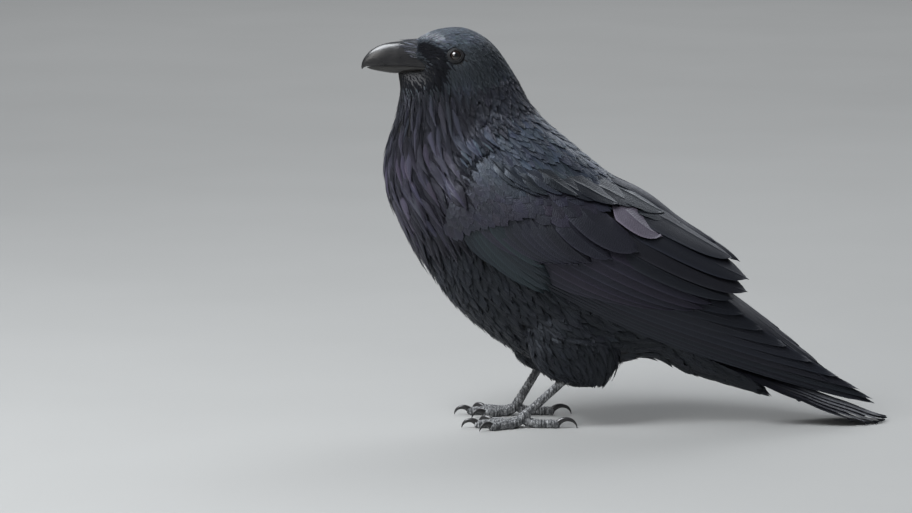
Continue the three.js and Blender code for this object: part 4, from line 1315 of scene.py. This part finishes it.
def body_coat(name, t_range, seed, vane, material, *, ragged, lift, gain, region=None):
    """The feathers of one region of the body. lift loosens their tips, gain draws them into tufts."""
    coat = Coat(name, seed)
    rng = coat.rng
    def keep(t, theta, points):
        kept = ~(beneath_wing(points) | in_thigh(points, 7) | by_eye(points, LID_OUTER - 0.4))
        return kept & region(t, theta) if region else kept
    t, theta = scatter(BODY_GROUND, t_range, (0, TURN), body_spacing, seed, keep)
    n = len(t)
    points = body_surface(t, theta)
    long, wide, pointed, apart = body_values(t, theta)
    long = long * rng.uniform(0.82, 1.18, n)
    wide = wide * rng.uniform(0.88, 1.15, n)
    long, wide = shorter_on_wing(points, long, wide)
    ahead = body_surface(t + BODY_STEPS[0], theta) - points
    long = np.minimum(long, np.maximum(room_before_eye(points, ahead), 1.2))
    turn, aside, shared = tufts(BODY_GROUND, t, theta, 1.9 * apart, long, gain, rng)
    depth = coat_depth(t) * 0.95
    stand = lift * np.abs(rng.standard_normal(n)) * wide / 8
    drop = wide * gain * 0.17 * aside ** 1.5
    lay(coat, vane, DRESSED_GROUND, t, theta, long=long, wide=wide, root_depth=depth,
        tip_depth=0.1 + 0.1 * depth - stand + drop, point=pointed, arch=rng.uniform(0.2, 0.34, n),
        yaw=turn + rng.normal(0, 0.06, n), curl=rng.normal(0, 0.15, n), ragged=ragged,
        place=body_place(NECK_RANGE if material is HACKLE else t_range),
        # Painted shade: feathers at the edges of a tuft, where tufts part, get a darker tone.
        tone=0.6 * shared + 0.4 * rng.uniform(0, 1, n) - 0.3 * aside, tint=body_tint(points, t, theta, rng),
        fade=0.5)
    if material is HACKLE:
        add_hackles(coat)
    coat.finish(material, "plumage")


def on_throat(t, theta):
    """Where the plumage is made of hackles: the throat, and all of the neck from below the nape."""
    edge = knots(t, (1.2, 1.0), (1.8, 0.86), (2.6, 0.72), (3.6, 0.5), (4.6, 0.2), (5.2, -0.1))
    return belly_share(theta) > edge


def on_face(t, theta):
    """Where the feathers are the dull black ones of the face, with an uneven edge: the lores, and along the
    gape and under the bill, where their dullness stands for shade.
    """
    uneven = 0.2 * np.sin(211 * t + 137 * theta)
    return lores_black_and_painted_shadow(body_surface(t, theta).reshape(-1, 3)) > 0.55 + uneven


def on_head(t, theta):
    return ~on_throat(t, theta) & ~on_face(t, theta)


def on_neck(t, theta):
    return on_throat(t, theta) & ~on_face(t, theta)


body_coat("feathers_head", (0.0, 5.2), 11, plain_vane(4, 2), HEAD_FEATHER,
          ragged=0.10, lift=0.12, gain=0.5, region=on_head)
body_coat("feathers_face", (0.0, 5.2), 14, plain_vane(4, 2), FACE_FEATHER,
          ragged=0.10, lift=0.12, gain=0.5, region=on_face)
body_coat("feathers_neck", (1.2, 8.6), 12, plain_vane(6, 4), HACKLE,
          ragged=0.12, lift=0.7, gain=0.9, region=on_neck)
body_coat("feathers_trunk", (8.6, 17.6), 13, plain_vane(5, 4), BODY_FEATHER,
          ragged=0.28, lift=0.25, gain=0.6)

THIGH_COAT_TOP, THIGH_COAT_LOWEST = 112, 42


def thigh_coat(leg, seed):
    """Loose feathers that hang down round the thigh, with ragged tips over the top of the tarsus."""
    coat = Coat(f"feathers_thigh_{leg['name']}", seed)
    rng = coat.rng
    ground = Ground(thigh_surface(leg), 1, BODY_STEPS)
    last = len(leg["thigh"]) - 1
    def spacing(t, angle):
        return knots(t, (0, 4.2), (3, 3.6), (5, 2.4), (6, 1.6))
    def keep(t, angle, points):
        return points[..., 2] < THIGH_COAT_TOP
    t, angle = scatter(ground, (0.3, last - 0.3), (0, TURN), spacing, seed, keep)
    n = len(t)
    long = knots(t, (0, 21), (3, 18), (5, 13), (6, 8)) * rng.uniform(0.8, 1.2, n)
    wide = knots(t, (0, 7.5), (3, 6.2), (5, 4), (6, 2.6)) * rng.uniform(0.85, 1.15, n)
    rear = ramp(np.sin(angle), 0.1, 0.8)
    room = (ground.surface(t, angle)[:, 2] - THIGH_COAT_LOWEST) * (1.1 + 0.7 * rear)
    long = np.maximum(np.minimum(long * (1 + 0.5 * rear), room), 3)
    turn, aside, shared = tufts(ground, t, angle, 1.8 * spacing(t, angle), long, 0.6, rng)
    sunk = 1 - smooth(t / 2)
    loose = (0.6 + 1.8 * rear) * np.abs(rng.standard_normal(n))
    unrolled = map_place(0, TURN, 0, last)
    lay(coat, plain_vane(5, 4), ground, t, angle, long=long, wide=wide,
        root_depth=knots(t, (0, 4), (3, 3.5), (6, 1.4)) + 2 * sunk,
        tip_depth=0.3 + 1.6 * sunk - loose + 0.8 * aside,
        point=rng.uniform(0.4, 1.0, n), arch=rng.uniform(0.2, 0.3, n), yaw=turn + rng.normal(0, 0.08, n),
        curl=rng.normal(0, 0.2, n), ragged=0.28, place=lambda p, q: unrolled(q % TURN, p), fade=0.4,
        # Painted shade: feathers at the edges of a tuft get a darker tone.
        tone=0.6 * shared + 0.4 * rng.uniform(0, 1, n) - 0.2 * aside, tint=tints(BLACK, n, rng),
        lie=lambda p, q: 0.6 * np.cos(q) * knots(p, (0, 0.5), (2, 1), (6, 1)))
    coat.finish(BODY_FEATHER, "plumage")


for leg in LEGS:
    thigh_coat(leg, 20 + leg["side"])

# ================================================================ nasal bristles
BRISTLE_FROM, BRISTLE_TO = 177.0, 201.0  # how far forward of y = 0 the bristles are rooted
# A share of the bristles is tinted pale as painted glints; the rest are dark.
PAINTED_GLINT_SHARE, PAINTED_GLINT_BRISTLE, DARK_BRISTLE = 0.22, 9.0, 0.8


def bristle_surface(ahead, angle):
    """The upper bill's arch at a distance forward; angle runs over it from side to side."""
    t = np.interp(ahead, -UPPER_BILL[::-1, 0], np.arange(len(UPPER_BILL))[::-1])
    ry, rz, ey, ez, half = np.moveaxis(catmull(UPPER_BILL, t), -1, 0)
    rise = np.sin(angle) ** 0.8
    return np.stack([half * np.cos(angle), ey + (ry - ey) * rise, ez + (rz - ez) * rise], -1)


def build_bristles():
    """Stiff narrow feathers that lie forward over the nostrils and the base of the ridge."""
    coat = Coat("bristles_nasal", 31)
    rng = coat.rng
    ground = Ground(bristle_surface, -1, (0.4, 0.02))
    def spacing(p, q):
        return np.full(np.shape(p), 0.95)
    p, q = scatter(ground, (BRISTLE_FROM, BRISTLE_TO), (0.24, math.pi - 0.24), spacing, 31)
    n = len(p)
    reach = knots(np.abs(np.cos(q)), (0, 203), (0.2, 209), (0.5, 214), (0.8, 213), (0.93, 206), (0.97, 201))
    long = np.clip(reach + rng.normal(0, 2.2, n) - p, 3, 17)
    unrolled = map_place(0, math.pi, BRISTLE_FROM, BRISTLE_FROM + 26)
    lay(coat, plain_vane(5, 2), ground, p, q, long=long, wide=rng.uniform(0.8, 1.6, n),
        root_depth=-knots(p, (177, 0.9), (190, 0.5), (201, 0.1)),
        tip_depth=-0.25 - 0.45 * np.abs(rng.standard_normal(n)), point=0.9, arch=0.4,
        yaw=rng.normal(0, 0.07, n) - 0.14 * np.sign(np.cos(q)), curl=rng.normal(0, 0.12, n), ragged=0.1,
        place=lambda a, b: unrolled(b, a), tone=rng.uniform(-0.4, 1.4, n),
        # Painted glints: some bristles are tinted pale.
        tint=tints(np.where(rng.uniform(0, 1, (n, 1)) < PAINTED_GLINT_SHARE, PAINTED_GLINT_BRISTLE, DARK_BRISTLE) * BLACK,
                   n, rng, 0.3))
    coat.finish(BRISTLE, "bristles", ["nasal_bristles"])


build_bristles()

# ================================================================ wings
# Large feathers have extra lines beside the shaft.
PLUME = Vane(26, (-1, -0.8, -0.5, -0.2, -0.06, 0, 0.06, 0.2, 0.5, 0.8, 1), 1.15)
COVERT = Vane(14, (-1, -0.7, -0.35, -0.07, 0, 0.07, 0.35, 0.7, 1), 1.15)
spread = np.linspace  # a value that changes evenly from the first feather to the last


def plumes(coat, vane, place, roots, tips, *, half, layer, tilt, arch, point, shaft, tone, tint, box,
           bow=0.0, notch=0.0, ragged=0.0, fade=0.0, sink=0.0):
    """Large feathers drawn in a surface's own two coordinates, root to tip, with a bowed shaft.

    place(p, q) gives the surface point and its outward normal. Positive u is the free, lower edge. layer is
    the height over the surface, sink lowers the root from there, tilt lifts the free edge and sinks the
    other, and notch moves the shaft towards the free edge.
    """
    roots, tips = np.array(roots, float), np.array(tips, float)
    n, s, u = len(roots), vane.s[:, None], vane.u
    run = tips - roots
    long = np.linalg.norm(run, axis=1)
    ahead = run / long[:, None]
    down = np.stack([ahead[:, 1], -ahead[:, 0]], -1)
    half = as_block(half, n)
    hem = 1 + ragged * coat.rng.uniform(-1, 1, (n, len(s), len(u))) * (np.abs(u) > 0.75)
    aside = half * outline(s, as_block(point, n)) * u * np.where(u > 0, 1 - notch, 1 + notch) * hem
    aside = aside + as_block(bow, n) * np.sin(math.pi * s)
    back = -0.30 * half * u ** 2 * smooth(s / 0.3)
    line = roots[:, None] + run[:, None] * s
    pq = line[:, :, None] + down[:, None, None] * aside[..., None] + ahead[:, None, None] * back[..., None]
    points, normals = place(pq[..., 0], pq[..., 1])
    height = (as_block(layer, n) + tilt * u * smooth((s - 0.1) / 0.6) + arch * (1 - u ** 2)
              + shaft * np.exp(-(u / 0.05) ** 2) * (1 - 0.7 * s) - sink * (1 - smooth(s / 0.4)))
    points = points + normals * height[..., None]
    outward = normals[:, len(s) // 2, len(u) // 2]
    coat.add(vane, points, outward, long, box, tone, fade, tint)


def sheet_place(ground):
    def place(p, q):
        return ground.surface(p, q), ground.metric(p, q)[2]
    return place


def wing_place(side):
    return sheet_place(Ground(wing_surface(side), side, (2.0, 2.0)))


MANTLE_GROUND = Ground(mantle_surface, -1, SHEET_STEPS)
mantle_place = sheet_place(MANTLE_GROUND)


def roof_place(side):
    """A low roof between the top edges of the two wings' primaries; c is the distance from the midline."""
    def place(a, c):
        edge = knots(a, (220, 47), (279, 36), (447, 6))
        half = np.maximum(flank(a, edge) - 1, 6)
        b = edge - 9 + 7.5 * (1 - np.clip(c / half, -1, 1) ** 2)
        return wing_point(side * np.clip(c, -half, half), a, b), np.broadcast_to(WING_UP, (*np.shape(a), 3))
    return place


def through(points, count):
    """Evenly many places on a curve through points in [a, b]."""
    return catmull(np.array(points, float), np.linspace(0, len(points) - 1, count))


def shelf(n, row, rows):
    """Rectangles side by side in one row of the map OFBake."""
    u = np.linspace(0.01, 0.99, n + 1)
    low, high = 0.01 + 0.98 * row / rows, 0.01 + 0.98 * (row + 0.94) / rows
    return np.stack([u[:-1], np.full(n, low), u[:-1] + 0.94 * np.diff(u), np.full(n, high)], -1)


# Where the feathers' tips lie, in a and b, from the lowest feather to the highest.
PRIMARY_TIPS = ((398, -3.5), (436, 1.5), (450, 5.5), (446, 9), (431, 12.5), (408, 14.5), (379, 16.5),
                (350, 19), (322, 23), (298, 28))
SECONDARY_TIPS = ((186, -9), (205, -6), (222, -1), (238, 5), (252, 11), (261, 17), (265, 24), (267, 31))


def finish_flight(coat, word, group):
    coat.finish(FLIGHT_FEATHER, "flight_feathers", [f"wing_{word}_{group}"])


def build_primaries(word, place, seed):
    coat = Coat(f"primaries_{word}", seed)
    rng = coat.rng
    n = len(PRIMARY_TIPS)
    roots = through([(96, -33), (100, -27), (104, -20), (110, -8), (118, 6)], n)
    plumes(coat, PLUME, place, roots, PRIMARY_TIPS, half=spread(7.5, 12.5, n), bow=spread(9, 3, n),
           layer=spread(-6.5, -3.4, n), tilt=1.4, arch=0.35, point=spread(0.45, 0.15, n), shaft=0.5,
           tone=rng.uniform(0.1, 0.8, n), tint=tints(BLACK * 1.05, n, rng, 0.06), box=shelf(n, 0, 1),
           notch=0.3)
    finish_flight(coat, word, "primaries")


def build_secondaries(word, place, seed):
    coat = Coat(f"secondaries_{word}", seed)
    rng = coat.rng
    n = len(SECONDARY_TIPS)
    roots = through([(78, -18), (84, -8), (90, 4), (98, 18), (110, 36)], n)
    plumes(coat, PLUME, place, roots, SECONDARY_TIPS, half=spread(9.5, 12.5, n), bow=spread(6, 2, n),
           layer=spread(-3.9, -2.0, n), tilt=1.6, arch=0.4, point=0.05, shaft=0.45,
           tone=rng.uniform(0.1, 0.8, n), tint=tints(PAINTED_VIOLET_SHEEN * 0.75, n, rng, 0.1), box=shelf(n, 0, 1),
           notch=0.2)
    finish_flight(coat, word, "secondaries")


def build_tertials(word, side, place, seed):
    coat = Coat(f"tertials_{word}", seed)
    rng = coat.rng
    roots = ((134, 38), (138, 50), (144, 62), (152, 74))
    tips = ((282, 36), (291, 46), (287, 56), (266, 67))
    plumes(coat, PLUME, place, roots, tips, half=(12.5, 13.5, 14.5, 14), bow=(5, 4, 2, 1),
           layer=spread(-1.4, 2.0, 4), tilt=1.6, arch=1.0, point=0.1, shaft=0.5,
           tone=rng.uniform(0.2, 0.7, 4), tint=tints(BLACK * 1.1, 4, rng, 0.08), box=shelf(4, 0, 3),
           notch=0.1, sink=2.5)
    if side > 0:
        # The innermost tertials of the left wing lie over those of the right wing.
        roots, tips = ((112, 3), (126, -5), (146, 5)), ((214, -4), (244, 3), (272, 1))
        plumes(coat, PLUME, mantle_place, roots, tips, half=(11.5, 12, 12.5), layer=(3.2, 2.6, 2.0), tilt=0.5,
               arch=0.8, point=0.1, shaft=0.5, tone=rng.uniform(0.2, 0.7, 3),
               tint=tints(BLACK * 1.1, 3, rng, 0.08), box=shelf(3, 1, 3), sink=5.0)
    for k in range(4):
        # Inner flight feathers close the roof between the two wings over the rump.
        root, tip = (232 + 6 * k, 21 - 5.5 * k), (408 - 24 * k, 12 - 3.4 * k)
        plumes(coat, PLUME, roof_place(side), [root], [tip], half=9.0, layer=-0.4 + 0.8 * k + 0.3 * side,
               tilt=0.8, arch=0.5, point=0.3, shaft=0.4, tone=rng.uniform(0.2, 0.7, 1),
               tint=tints(BLACK, 1, rng, 0.06), box=shelf(4, 2, 3)[k:k + 1])
    finish_flight(coat, word, "tertials")


TIPS_LOWER, TIPS_FROM = 3.0, (150, 300)  # the right wing's tips lie this much lower than the left's


def build_flight(word, side, seed):
    """Primaries, secondaries and tertials of one wing, in three pieces."""
    lie_in = wing_place(side)
    def place(a, b):
        return lie_in(a, b - (TIPS_LOWER if side < 0 else 0) * ramp(a, *TIPS_FROM))
    build_primaries(word, place, seed)
    build_secondaries(word, place, seed + 1)
    build_tertials(word, side, place, seed + 2)


COVERT_A, COVERT_B = (-10, 132), (-24, 80)  # where the small coverts grow, in a and b
PRIMARY_COVERT_TIPS = ((78, -36.5), (104, -40), (117, -39), (121, -34), (119, -27), (114, -21), (106, -15))


def covert_lie(a, b):
    """Turn of the small coverts from the wing's length: steep at the front, nearly along it further back."""
    steep = knots(a, (-10, -0.75), (20, -0.5), (60, -0.34), (120, -0.15), (200, -0.1))
    return steep - 0.25 * ramp(b, 0, -25)


def covert_keep(a, b, points):
    """Where the small coverts grow: from the wrist and the wing's front edge to the row of median coverts."""
    front = knots(b, (-22, 4), (-14, 2), (0, -4), (16, -8), (34, -7), (52, 2), (62, 8))
    row = knots(b, (-20, 14), (-5, 26), (8, 38), (21, 54), (29, 72), (41, 92), (55, 108), (70, 122),
                (80, 130))
    top = knots(a, (0, 62), (22, 60), (40, 58), (74, 60), (100, 68), (140, 76))
    return (a > front) & (a < row) & (b < top)


def covert_spacing(a, b):
    return knots(a, (-8, 3.0), (20, 4.2), (50, 6.0), (90, 7.4), (130, 8.0))


def add_primary_coverts(coat, place):
    """Primary coverts and alula along the wing's front edge."""
    rng = coat.rng
    n = len(PRIMARY_COVERT_TIPS)
    # Painted sheen: the primary coverts are tinted teal for the greenish gloss along the wing's front edge.
    plumes(coat, COVERT, place, through([(6, -2), (14, -2), (24, 2), (34, 4)], n), PRIMARY_COVERT_TIPS,
           half=spread(5.5, 8, n), bow=spread(10, 3, n), layer=spread(-3.0, -0.9, n), tilt=1.4, arch=0.45,
           point=0.35, shaft=0.35, fade=0.7, tone=rng.uniform(0.0, 0.9, n), tint=tints(PAINTED_TEAL_SHEEN, n, rng, 0.15),
           box=shelf(n, 0, 6))


def add_greater_coverts(coat, place, side):
    """The outer ones are narrow, the three inner ones broad, and on the left the innermost is painted pale as
    a highlight.
    """
    rng = coat.rng
    roots = np.concatenate([through([(14, 8), (30, 18), (52, 28), (72, 36)], 9),
                            [(84, 44), (92, 58), (137, 69)]])
    tips = np.concatenate([through([(92, -14), (110, -9), (122, -3), (133, 3), (143, 9)], 9),
                           [(158, 21), (178, 37), (193, 57)]])
    n = len(roots)
    jitter = rng.normal(0, 1.3, (n, 2)) * (np.arange(n) < 9)[:, None]
    # Painted highlight: the left wing's innermost greater covert is tinted pale.
    colors = [PAINTED_VIOLET_SHEEN * 0.7] * (n - 1) + [PAINTED_COVERT_HIGHLIGHT if side > 0 else PAINTED_VIOLET_SHEEN]
    plumes(coat, COVERT, place, roots, tips + jitter, half=np.append(spread(8, 10, 9), [12, 15, 11.5]),
           bow=np.append(spread(7, 5, 9), [6, 6, 3]),
           layer=np.append(spread(-1.7, -0.6, 9), [-0.1, 0.8, 1.5]), tilt=1.8, arch=0.55, point=0.1,
           shaft=0.4, fade=0.5,
           tone=np.append(rng.uniform(0.0, 0.6, 9), [0.3, 0.5, 0.8]), tint=tints(colors, n, rng, 0.1),
           box=shelf(n, 1, 6), sink=2.4)


def add_small_coverts(coat, side, seed):
    """Lesser and median coverts: scales that grow from the wrist towards the greater coverts."""
    rng = coat.rng
    ground = Ground(wing_surface(side), side, SHEET_STEPS)
    a, b = scatter(ground, COVERT_A, COVERT_B, covert_spacing, seed, covert_keep)
    n = len(a)
    size = knots(a, (-8, 0.45), (20, 0.55), (50, 0.8), (90, 1.0), (130, 1.1))
    long = 26 * size * rng.uniform(0.85, 1.15, n)
    wide = 15.5 * size * rng.uniform(0.9, 1.1, n)
    # Painted sheen: the small coverts near the shoulder are tinted blue-grey.
    painted_shoulder_sheen = ramp(b, 22, 50) * ramp(a, 70, 30)
    _, _, shared = tufts(ground, a, b, 2.2 * covert_spacing(a, b), long, 0.15, rng)
    def spot(p, q):
        return np.stack([0.01 + 0.98 * (p + 12) / 146, 0.68 + 0.31 * (q + 26) / 110], -1)
    lay(coat, plain_vane(6, 4), ground, a, b, long=long, wide=wide, root_depth=knots(a, (-8, 2.6), (12, 0.9)),
        tip_depth=knots(a, (-8, 0.8), (14, -0.1), (40, -0.55), (100, -0.8)), point=0.15,
        arch=knots(a, (0, 0.03), (50, 0.10)), yaw=rng.normal(0, 0.06, n), curl=rng.normal(0, 0.1, n),
        ragged=0.08, place=spot, tone=0.35 * shared + rng.uniform(0, 0.35, n),
        tint=tints(PAINTED_VIOLET_SHEEN * (1 - painted_shoulder_sheen[:, None]) + PAINTED_BLUE_SHEEN * 0.85 * painted_shoulder_sheen[:, None], n, rng, 0.12),
        lie=covert_lie, fade=0.6)


def build_coverts(word, side, seed):
    coat = Coat(f"coverts_{word}", seed)
    place = wing_place(side)
    add_primary_coverts(coat, place)
    add_greater_coverts(coat, place, side)
    add_small_coverts(coat, side, seed)
    coat.finish(WING_FEATHER, "plumage", [f"wing_{word}_coverts"])


CAPE_A, CAPE_C = (-10, 190), (-72, 72)
SCAPULAR_TIPS = np.array([(52, 41), (61, 44), (70, 45), (79, 48), (90, 53), (104, 56), (122, 60), (142, 66),
                          (163, 71), (186, 75), (206, 78)], float)


def cape_edge(a):
    """How far the cape of mantle and scapulars reaches down over the wing, as b along a."""
    return knots(a, (-5, 66), (8, 64), (22, 54), (40, 48), (62, 44), (74, 47), (88, 54), (112, 59), (144, 66),
                 (172, 73), (203, 76), (215, 84))


def cape_keep(a, c, points):
    _, b = to_wing(points)
    return (b > cape_edge(a + 14) + 7) & (a > cape_front(b))


def cape_spacing(a, c):
    return knots(a, (-10, 3.6), (30, 4.4), (80, 5.4), (130, 7.0), (200, 9.0))


def cape_lie(a, c):
    """Turn of the cape's feathers outwards from the midline."""
    return -0.32 * np.clip(c / 45, -1, 1) * knots(a, (0, 1), (90, 0.9), (150, 0.2), (220, -0.1))


def add_mantle(coat):
    rng = coat.rng
    a, c = scatter(MANTLE_GROUND, CAPE_A, CAPE_C, cape_spacing, 51, cape_keep)
    n = len(a)
    _, b = to_wing(mantle_surface(a, c))
    long = knots(a, (-10, 18), (30, 25), (80, 32), (130, 40), (200, 46)) * rng.uniform(0.88, 1.12, n)
    wide = knots(a, (-10, 7), (30, 9), (80, 12), (130, 16), (200, 20)) * rng.uniform(0.9, 1.1, n)
    turn, aside, shared = tufts(MANTLE_GROUND, a, c, 2.0 * cape_spacing(a, c), long, 0.3, rng)
    sunk = 1 - smooth((a - cape_front(b)) / 16)
    # Painted sheen: the cape's front is tinted blue-grey, fading to black towards the rear.
    dark = ramp(a, 75, 125)[:, None]
    def spot(p, q):
        return np.stack([0.01 + 0.98 * (q + 80) / 160, 0.01 + 0.80 * (p + 12) / 212], -1)
    lay(coat, plain_vane(7, 4), MANTLE_GROUND, a, c, long=long, wide=wide, root_depth=2.0 + 1.5 * sunk,
        tip_depth=-1.1 - 0.3 * np.abs(rng.standard_normal(n)) + 1.2 * sunk,
        point=knots(a, (0, 0.5), (60, 0.4), (120, 0.15)), arch=0.11, yaw=turn + rng.normal(0, 0.06, n),
        curl=rng.normal(0, 0.08, n), ragged=0.09, place=spot,
        # Painted shade: feathers at the edges of a tuft get a darker tone.
        tone=0.6 * shared + rng.uniform(0, 0.5, n) - 0.2 * aside,
        tint=tints(PAINTED_BLUE_SHEEN * 1.1 * (1 - dark) + BLACK * dark, n, rng), lie=cape_lie, fade=0.5)


def add_scapulars(coat, side, row):
    """Long scapulars whose loosened tips stand a little apart over the wing."""
    rng = coat.rng
    n = len(SCAPULAR_TIPS)
    tips = SCAPULAR_TIPS + rng.normal(0, 1.2, (n, 2))
    a = tips[:, 0]
    slope = knots(a, (50, 0.26), (110, 0.12), (200, 0.03)) + rng.normal(0, 0.03, n)
    long = knots(a, (50, 36), (110, 46), (200, 56)) * rng.uniform(0.9, 1.1, n)
    roots = tips + np.stack([-long * np.cos(slope), long * np.sin(slope)], -1)
    # Painted sheen: the front scapulars are tinted blue-grey.
    painted_sheen_share = ramp(a, 115, 85)[:, None]
    plumes(coat, COVERT, wing_place(side), roots, tips, half=knots(a, (50, 5), (200, 9)), bow=1.0,
           layer=1.2 + 0.9 * (np.arange(n) % 2) + rng.uniform(0, 0.5, n), tilt=0.9, arch=0.6,
           point=knots(a, (50, 0.8), (130, 0.3)), shaft=0.4, tone=rng.uniform(0.0, 0.5, n), ragged=0.06,
           fade=0.4, tint=tints(BLACK + (PAINTED_BLUE_SHEEN * 0.6 - BLACK) * painted_sheen_share, n, rng), box=shelf(n, row, 10), sink=2.6)


def build_cape():
    """Mantle and scapulars: one shingled cape over the upper back and the tops of both wings."""
    coat = Coat("cape", 51)
    add_mantle(coat)
    add_scapulars(coat, 1, 8)
    add_scapulars(coat, -1, 9)
    coat.finish(WING_FEATHER, "plumage", ["wing_left_scapulars", "wing_right_scapulars"])


for leg in LEGS:
    build_flight(leg["name"], leg["side"], 60 + leg["side"])
    build_coverts(leg["name"], leg["side"], 70 + leg["side"])
build_cape()

# ================================================================ tail
TAIL_STEP = 1.0        # how far each pair of tail feathers lies under the one before
TAIL_NARROWER = 0.9    # how much narrower each pair is, from the middle out
TAIL_ROOT_Y = TAIL_LINE[0, 0] + 6
TAIL_ROOT_SPREAD = 1.1


def build_tail():
    """Twelve tail feathers, the middle pair on top, spread like a fan and sloping like a roof."""
    coat = Coat("tail_feathers", 81)
    rng = coat.rng
    for pair, end in enumerate(TAIL_TIPS_Y):
        for hand in (1, -1):
            floor = 0.4 + 0.45 * (5 - pair) + (0.2 if hand > 0 else 0)
            def place(y, x, floor=floor, pair=pair):
                points = tail_surface(y, x)
                points[..., 2] = np.maximum(points[..., 2] - TAIL_STEP * pair - 0.3, floor)
                return points, np.broadcast_to(np.array([0, 0, 1.0]), points.shape)
            foot = hand * (1 + TAIL_ROOT_SPREAD * pair)
            fan = hand * (end - TAIL_ROOT_Y) * math.tan((0.5 + pair) * TAIL_SPREAD)
            plumes(coat, PLUME, place, [(TAIL_ROOT_Y, foot)], [(end, foot + fan)],
                   half=TAIL_FEATHER_HALF - TAIL_NARROWER * pair, layer=0.0, tilt=-1.5 * hand, arch=1.1,
                   point=0.45, shaft=0.6, tone=rng.uniform(0.2, 0.8, 1),
                   # Painted shade: each pair further out, lying lower under the others, is tinted darker.
                   tint=tints(BLACK * (0.9 - 0.08 * pair), 1, rng, 0.06),
                   box=shelf(12, 0, 1)[2 * pair + (hand < 0)][None])
    coat.finish(FLIGHT_FEATHER, "flight_feathers", ["tail"])


build_tail()

# ================================================================ floor, light and camera
FLOOR_HALF = 9.0
MIDDLE = (0, -0.05, 0.2)  # what the lights point at
SKY_COLOR, SKY_STRENGTH = (0.86, 0.91, 1.0, 1), 0.16


def build_stage():
    """A plain pale floor that runs out of the view on all sides."""
    corners = [(-FLOOR_HALF, -FLOOR_HALF, 0), (FLOOR_HALF, -FLOOR_HALF, 0),
               (FLOOR_HALF, FLOOR_HALF, 0), (-FLOOR_HALF, FLOOR_HALF, 0)]
    mesh = bpy.data.meshes.new("floor")
    mesh.from_pydata(corners, [], [(0, 1, 2, 3)])
    s = Shader("studio_floor")
    color = s.mix(s.noise(3, 2.0), (0.34, 0.34, 0.33), (0.37, 0.37, 0.36))
    mesh.materials.append(s.finish({"Base Color": color, "Roughness": 0.75, "Specular IOR Level": 0.2}))
    floor = bpy.data.objects.new("floor", mesh)
    bpy.context.collection.objects.link(floor)


def aimed(name, data, place, aim):
    """Puts a lamp or a camera at a place, turned towards its aim."""
    holder = bpy.data.objects.new(name, data)
    holder.location = place
    holder.rotation_euler = (Vector(aim) - Vector(place)).to_track_quat("-Z", "Y").to_euler()
    bpy.context.collection.objects.link(holder)
    return holder


def area_light(name, place, aim, size, watts, color):
    lamp = bpy.data.lights.new(name, "AREA")
    lamp.shape = "RECTANGLE"
    lamp.size, lamp.size_y = size
    lamp.energy = watts
    lamp.color = color
    aimed(name, lamp, place, aim)


def build_lights():
    area_light("sky_panel", (0.8, -1.3, 2.2), MIDDLE, (1.4, 1.4), 98, (0.93, 0.96, 1.0))
    area_light("front_panel", (1.9, -1.7, 1.2), MIDDLE, (0.7, 0.9), 9, (1.0, 0.98, 0.95))
    area_light("rim_panel", (-1.8, 1.0, 1.9), MIDDLE, (1.2, 1.2), 11, (0.92, 0.96, 1.0))
    area_light("far_panel", (-4.5, 0, 3.6), (-3.6, 0, 0), (6, 3), 150, (0.95, 0.97, 1.0))
    world = bpy.data.worlds.new("studio")
    world.use_nodes = True
    background = world.node_tree.nodes["Background"]
    background.inputs["Color"].default_value = SKY_COLOR
    background.inputs["Strength"].default_value = SKY_STRENGTH
    bpy.context.scene.world = world
    bpy.context.scene.view_settings.view_transform = "Standard"


CAMERA_RISE = math.radians(8)
CAMERA_FAR = 4.0
FRAME_WIDE = 0.866     # width of the view at the bird, for 912 pixels
FRAME_CENTRE = (0.0, -0.161, 0.1588)
SENSOR = 36.0


def build_camera():
    camera = bpy.data.cameras.new("camera")
    camera.sensor_width = SENSOR
    camera.lens = SENSOR * CAMERA_FAR / FRAME_WIDE
    way = Vector((math.cos(CAMERA_RISE), 0, math.sin(CAMERA_RISE)))
    place = Vector(FRAME_CENTRE) + CAMERA_FAR * way
    bpy.context.scene.camera = aimed("camera", camera, place, FRAME_CENTRE)


build_stage()
build_lights()
build_camera()
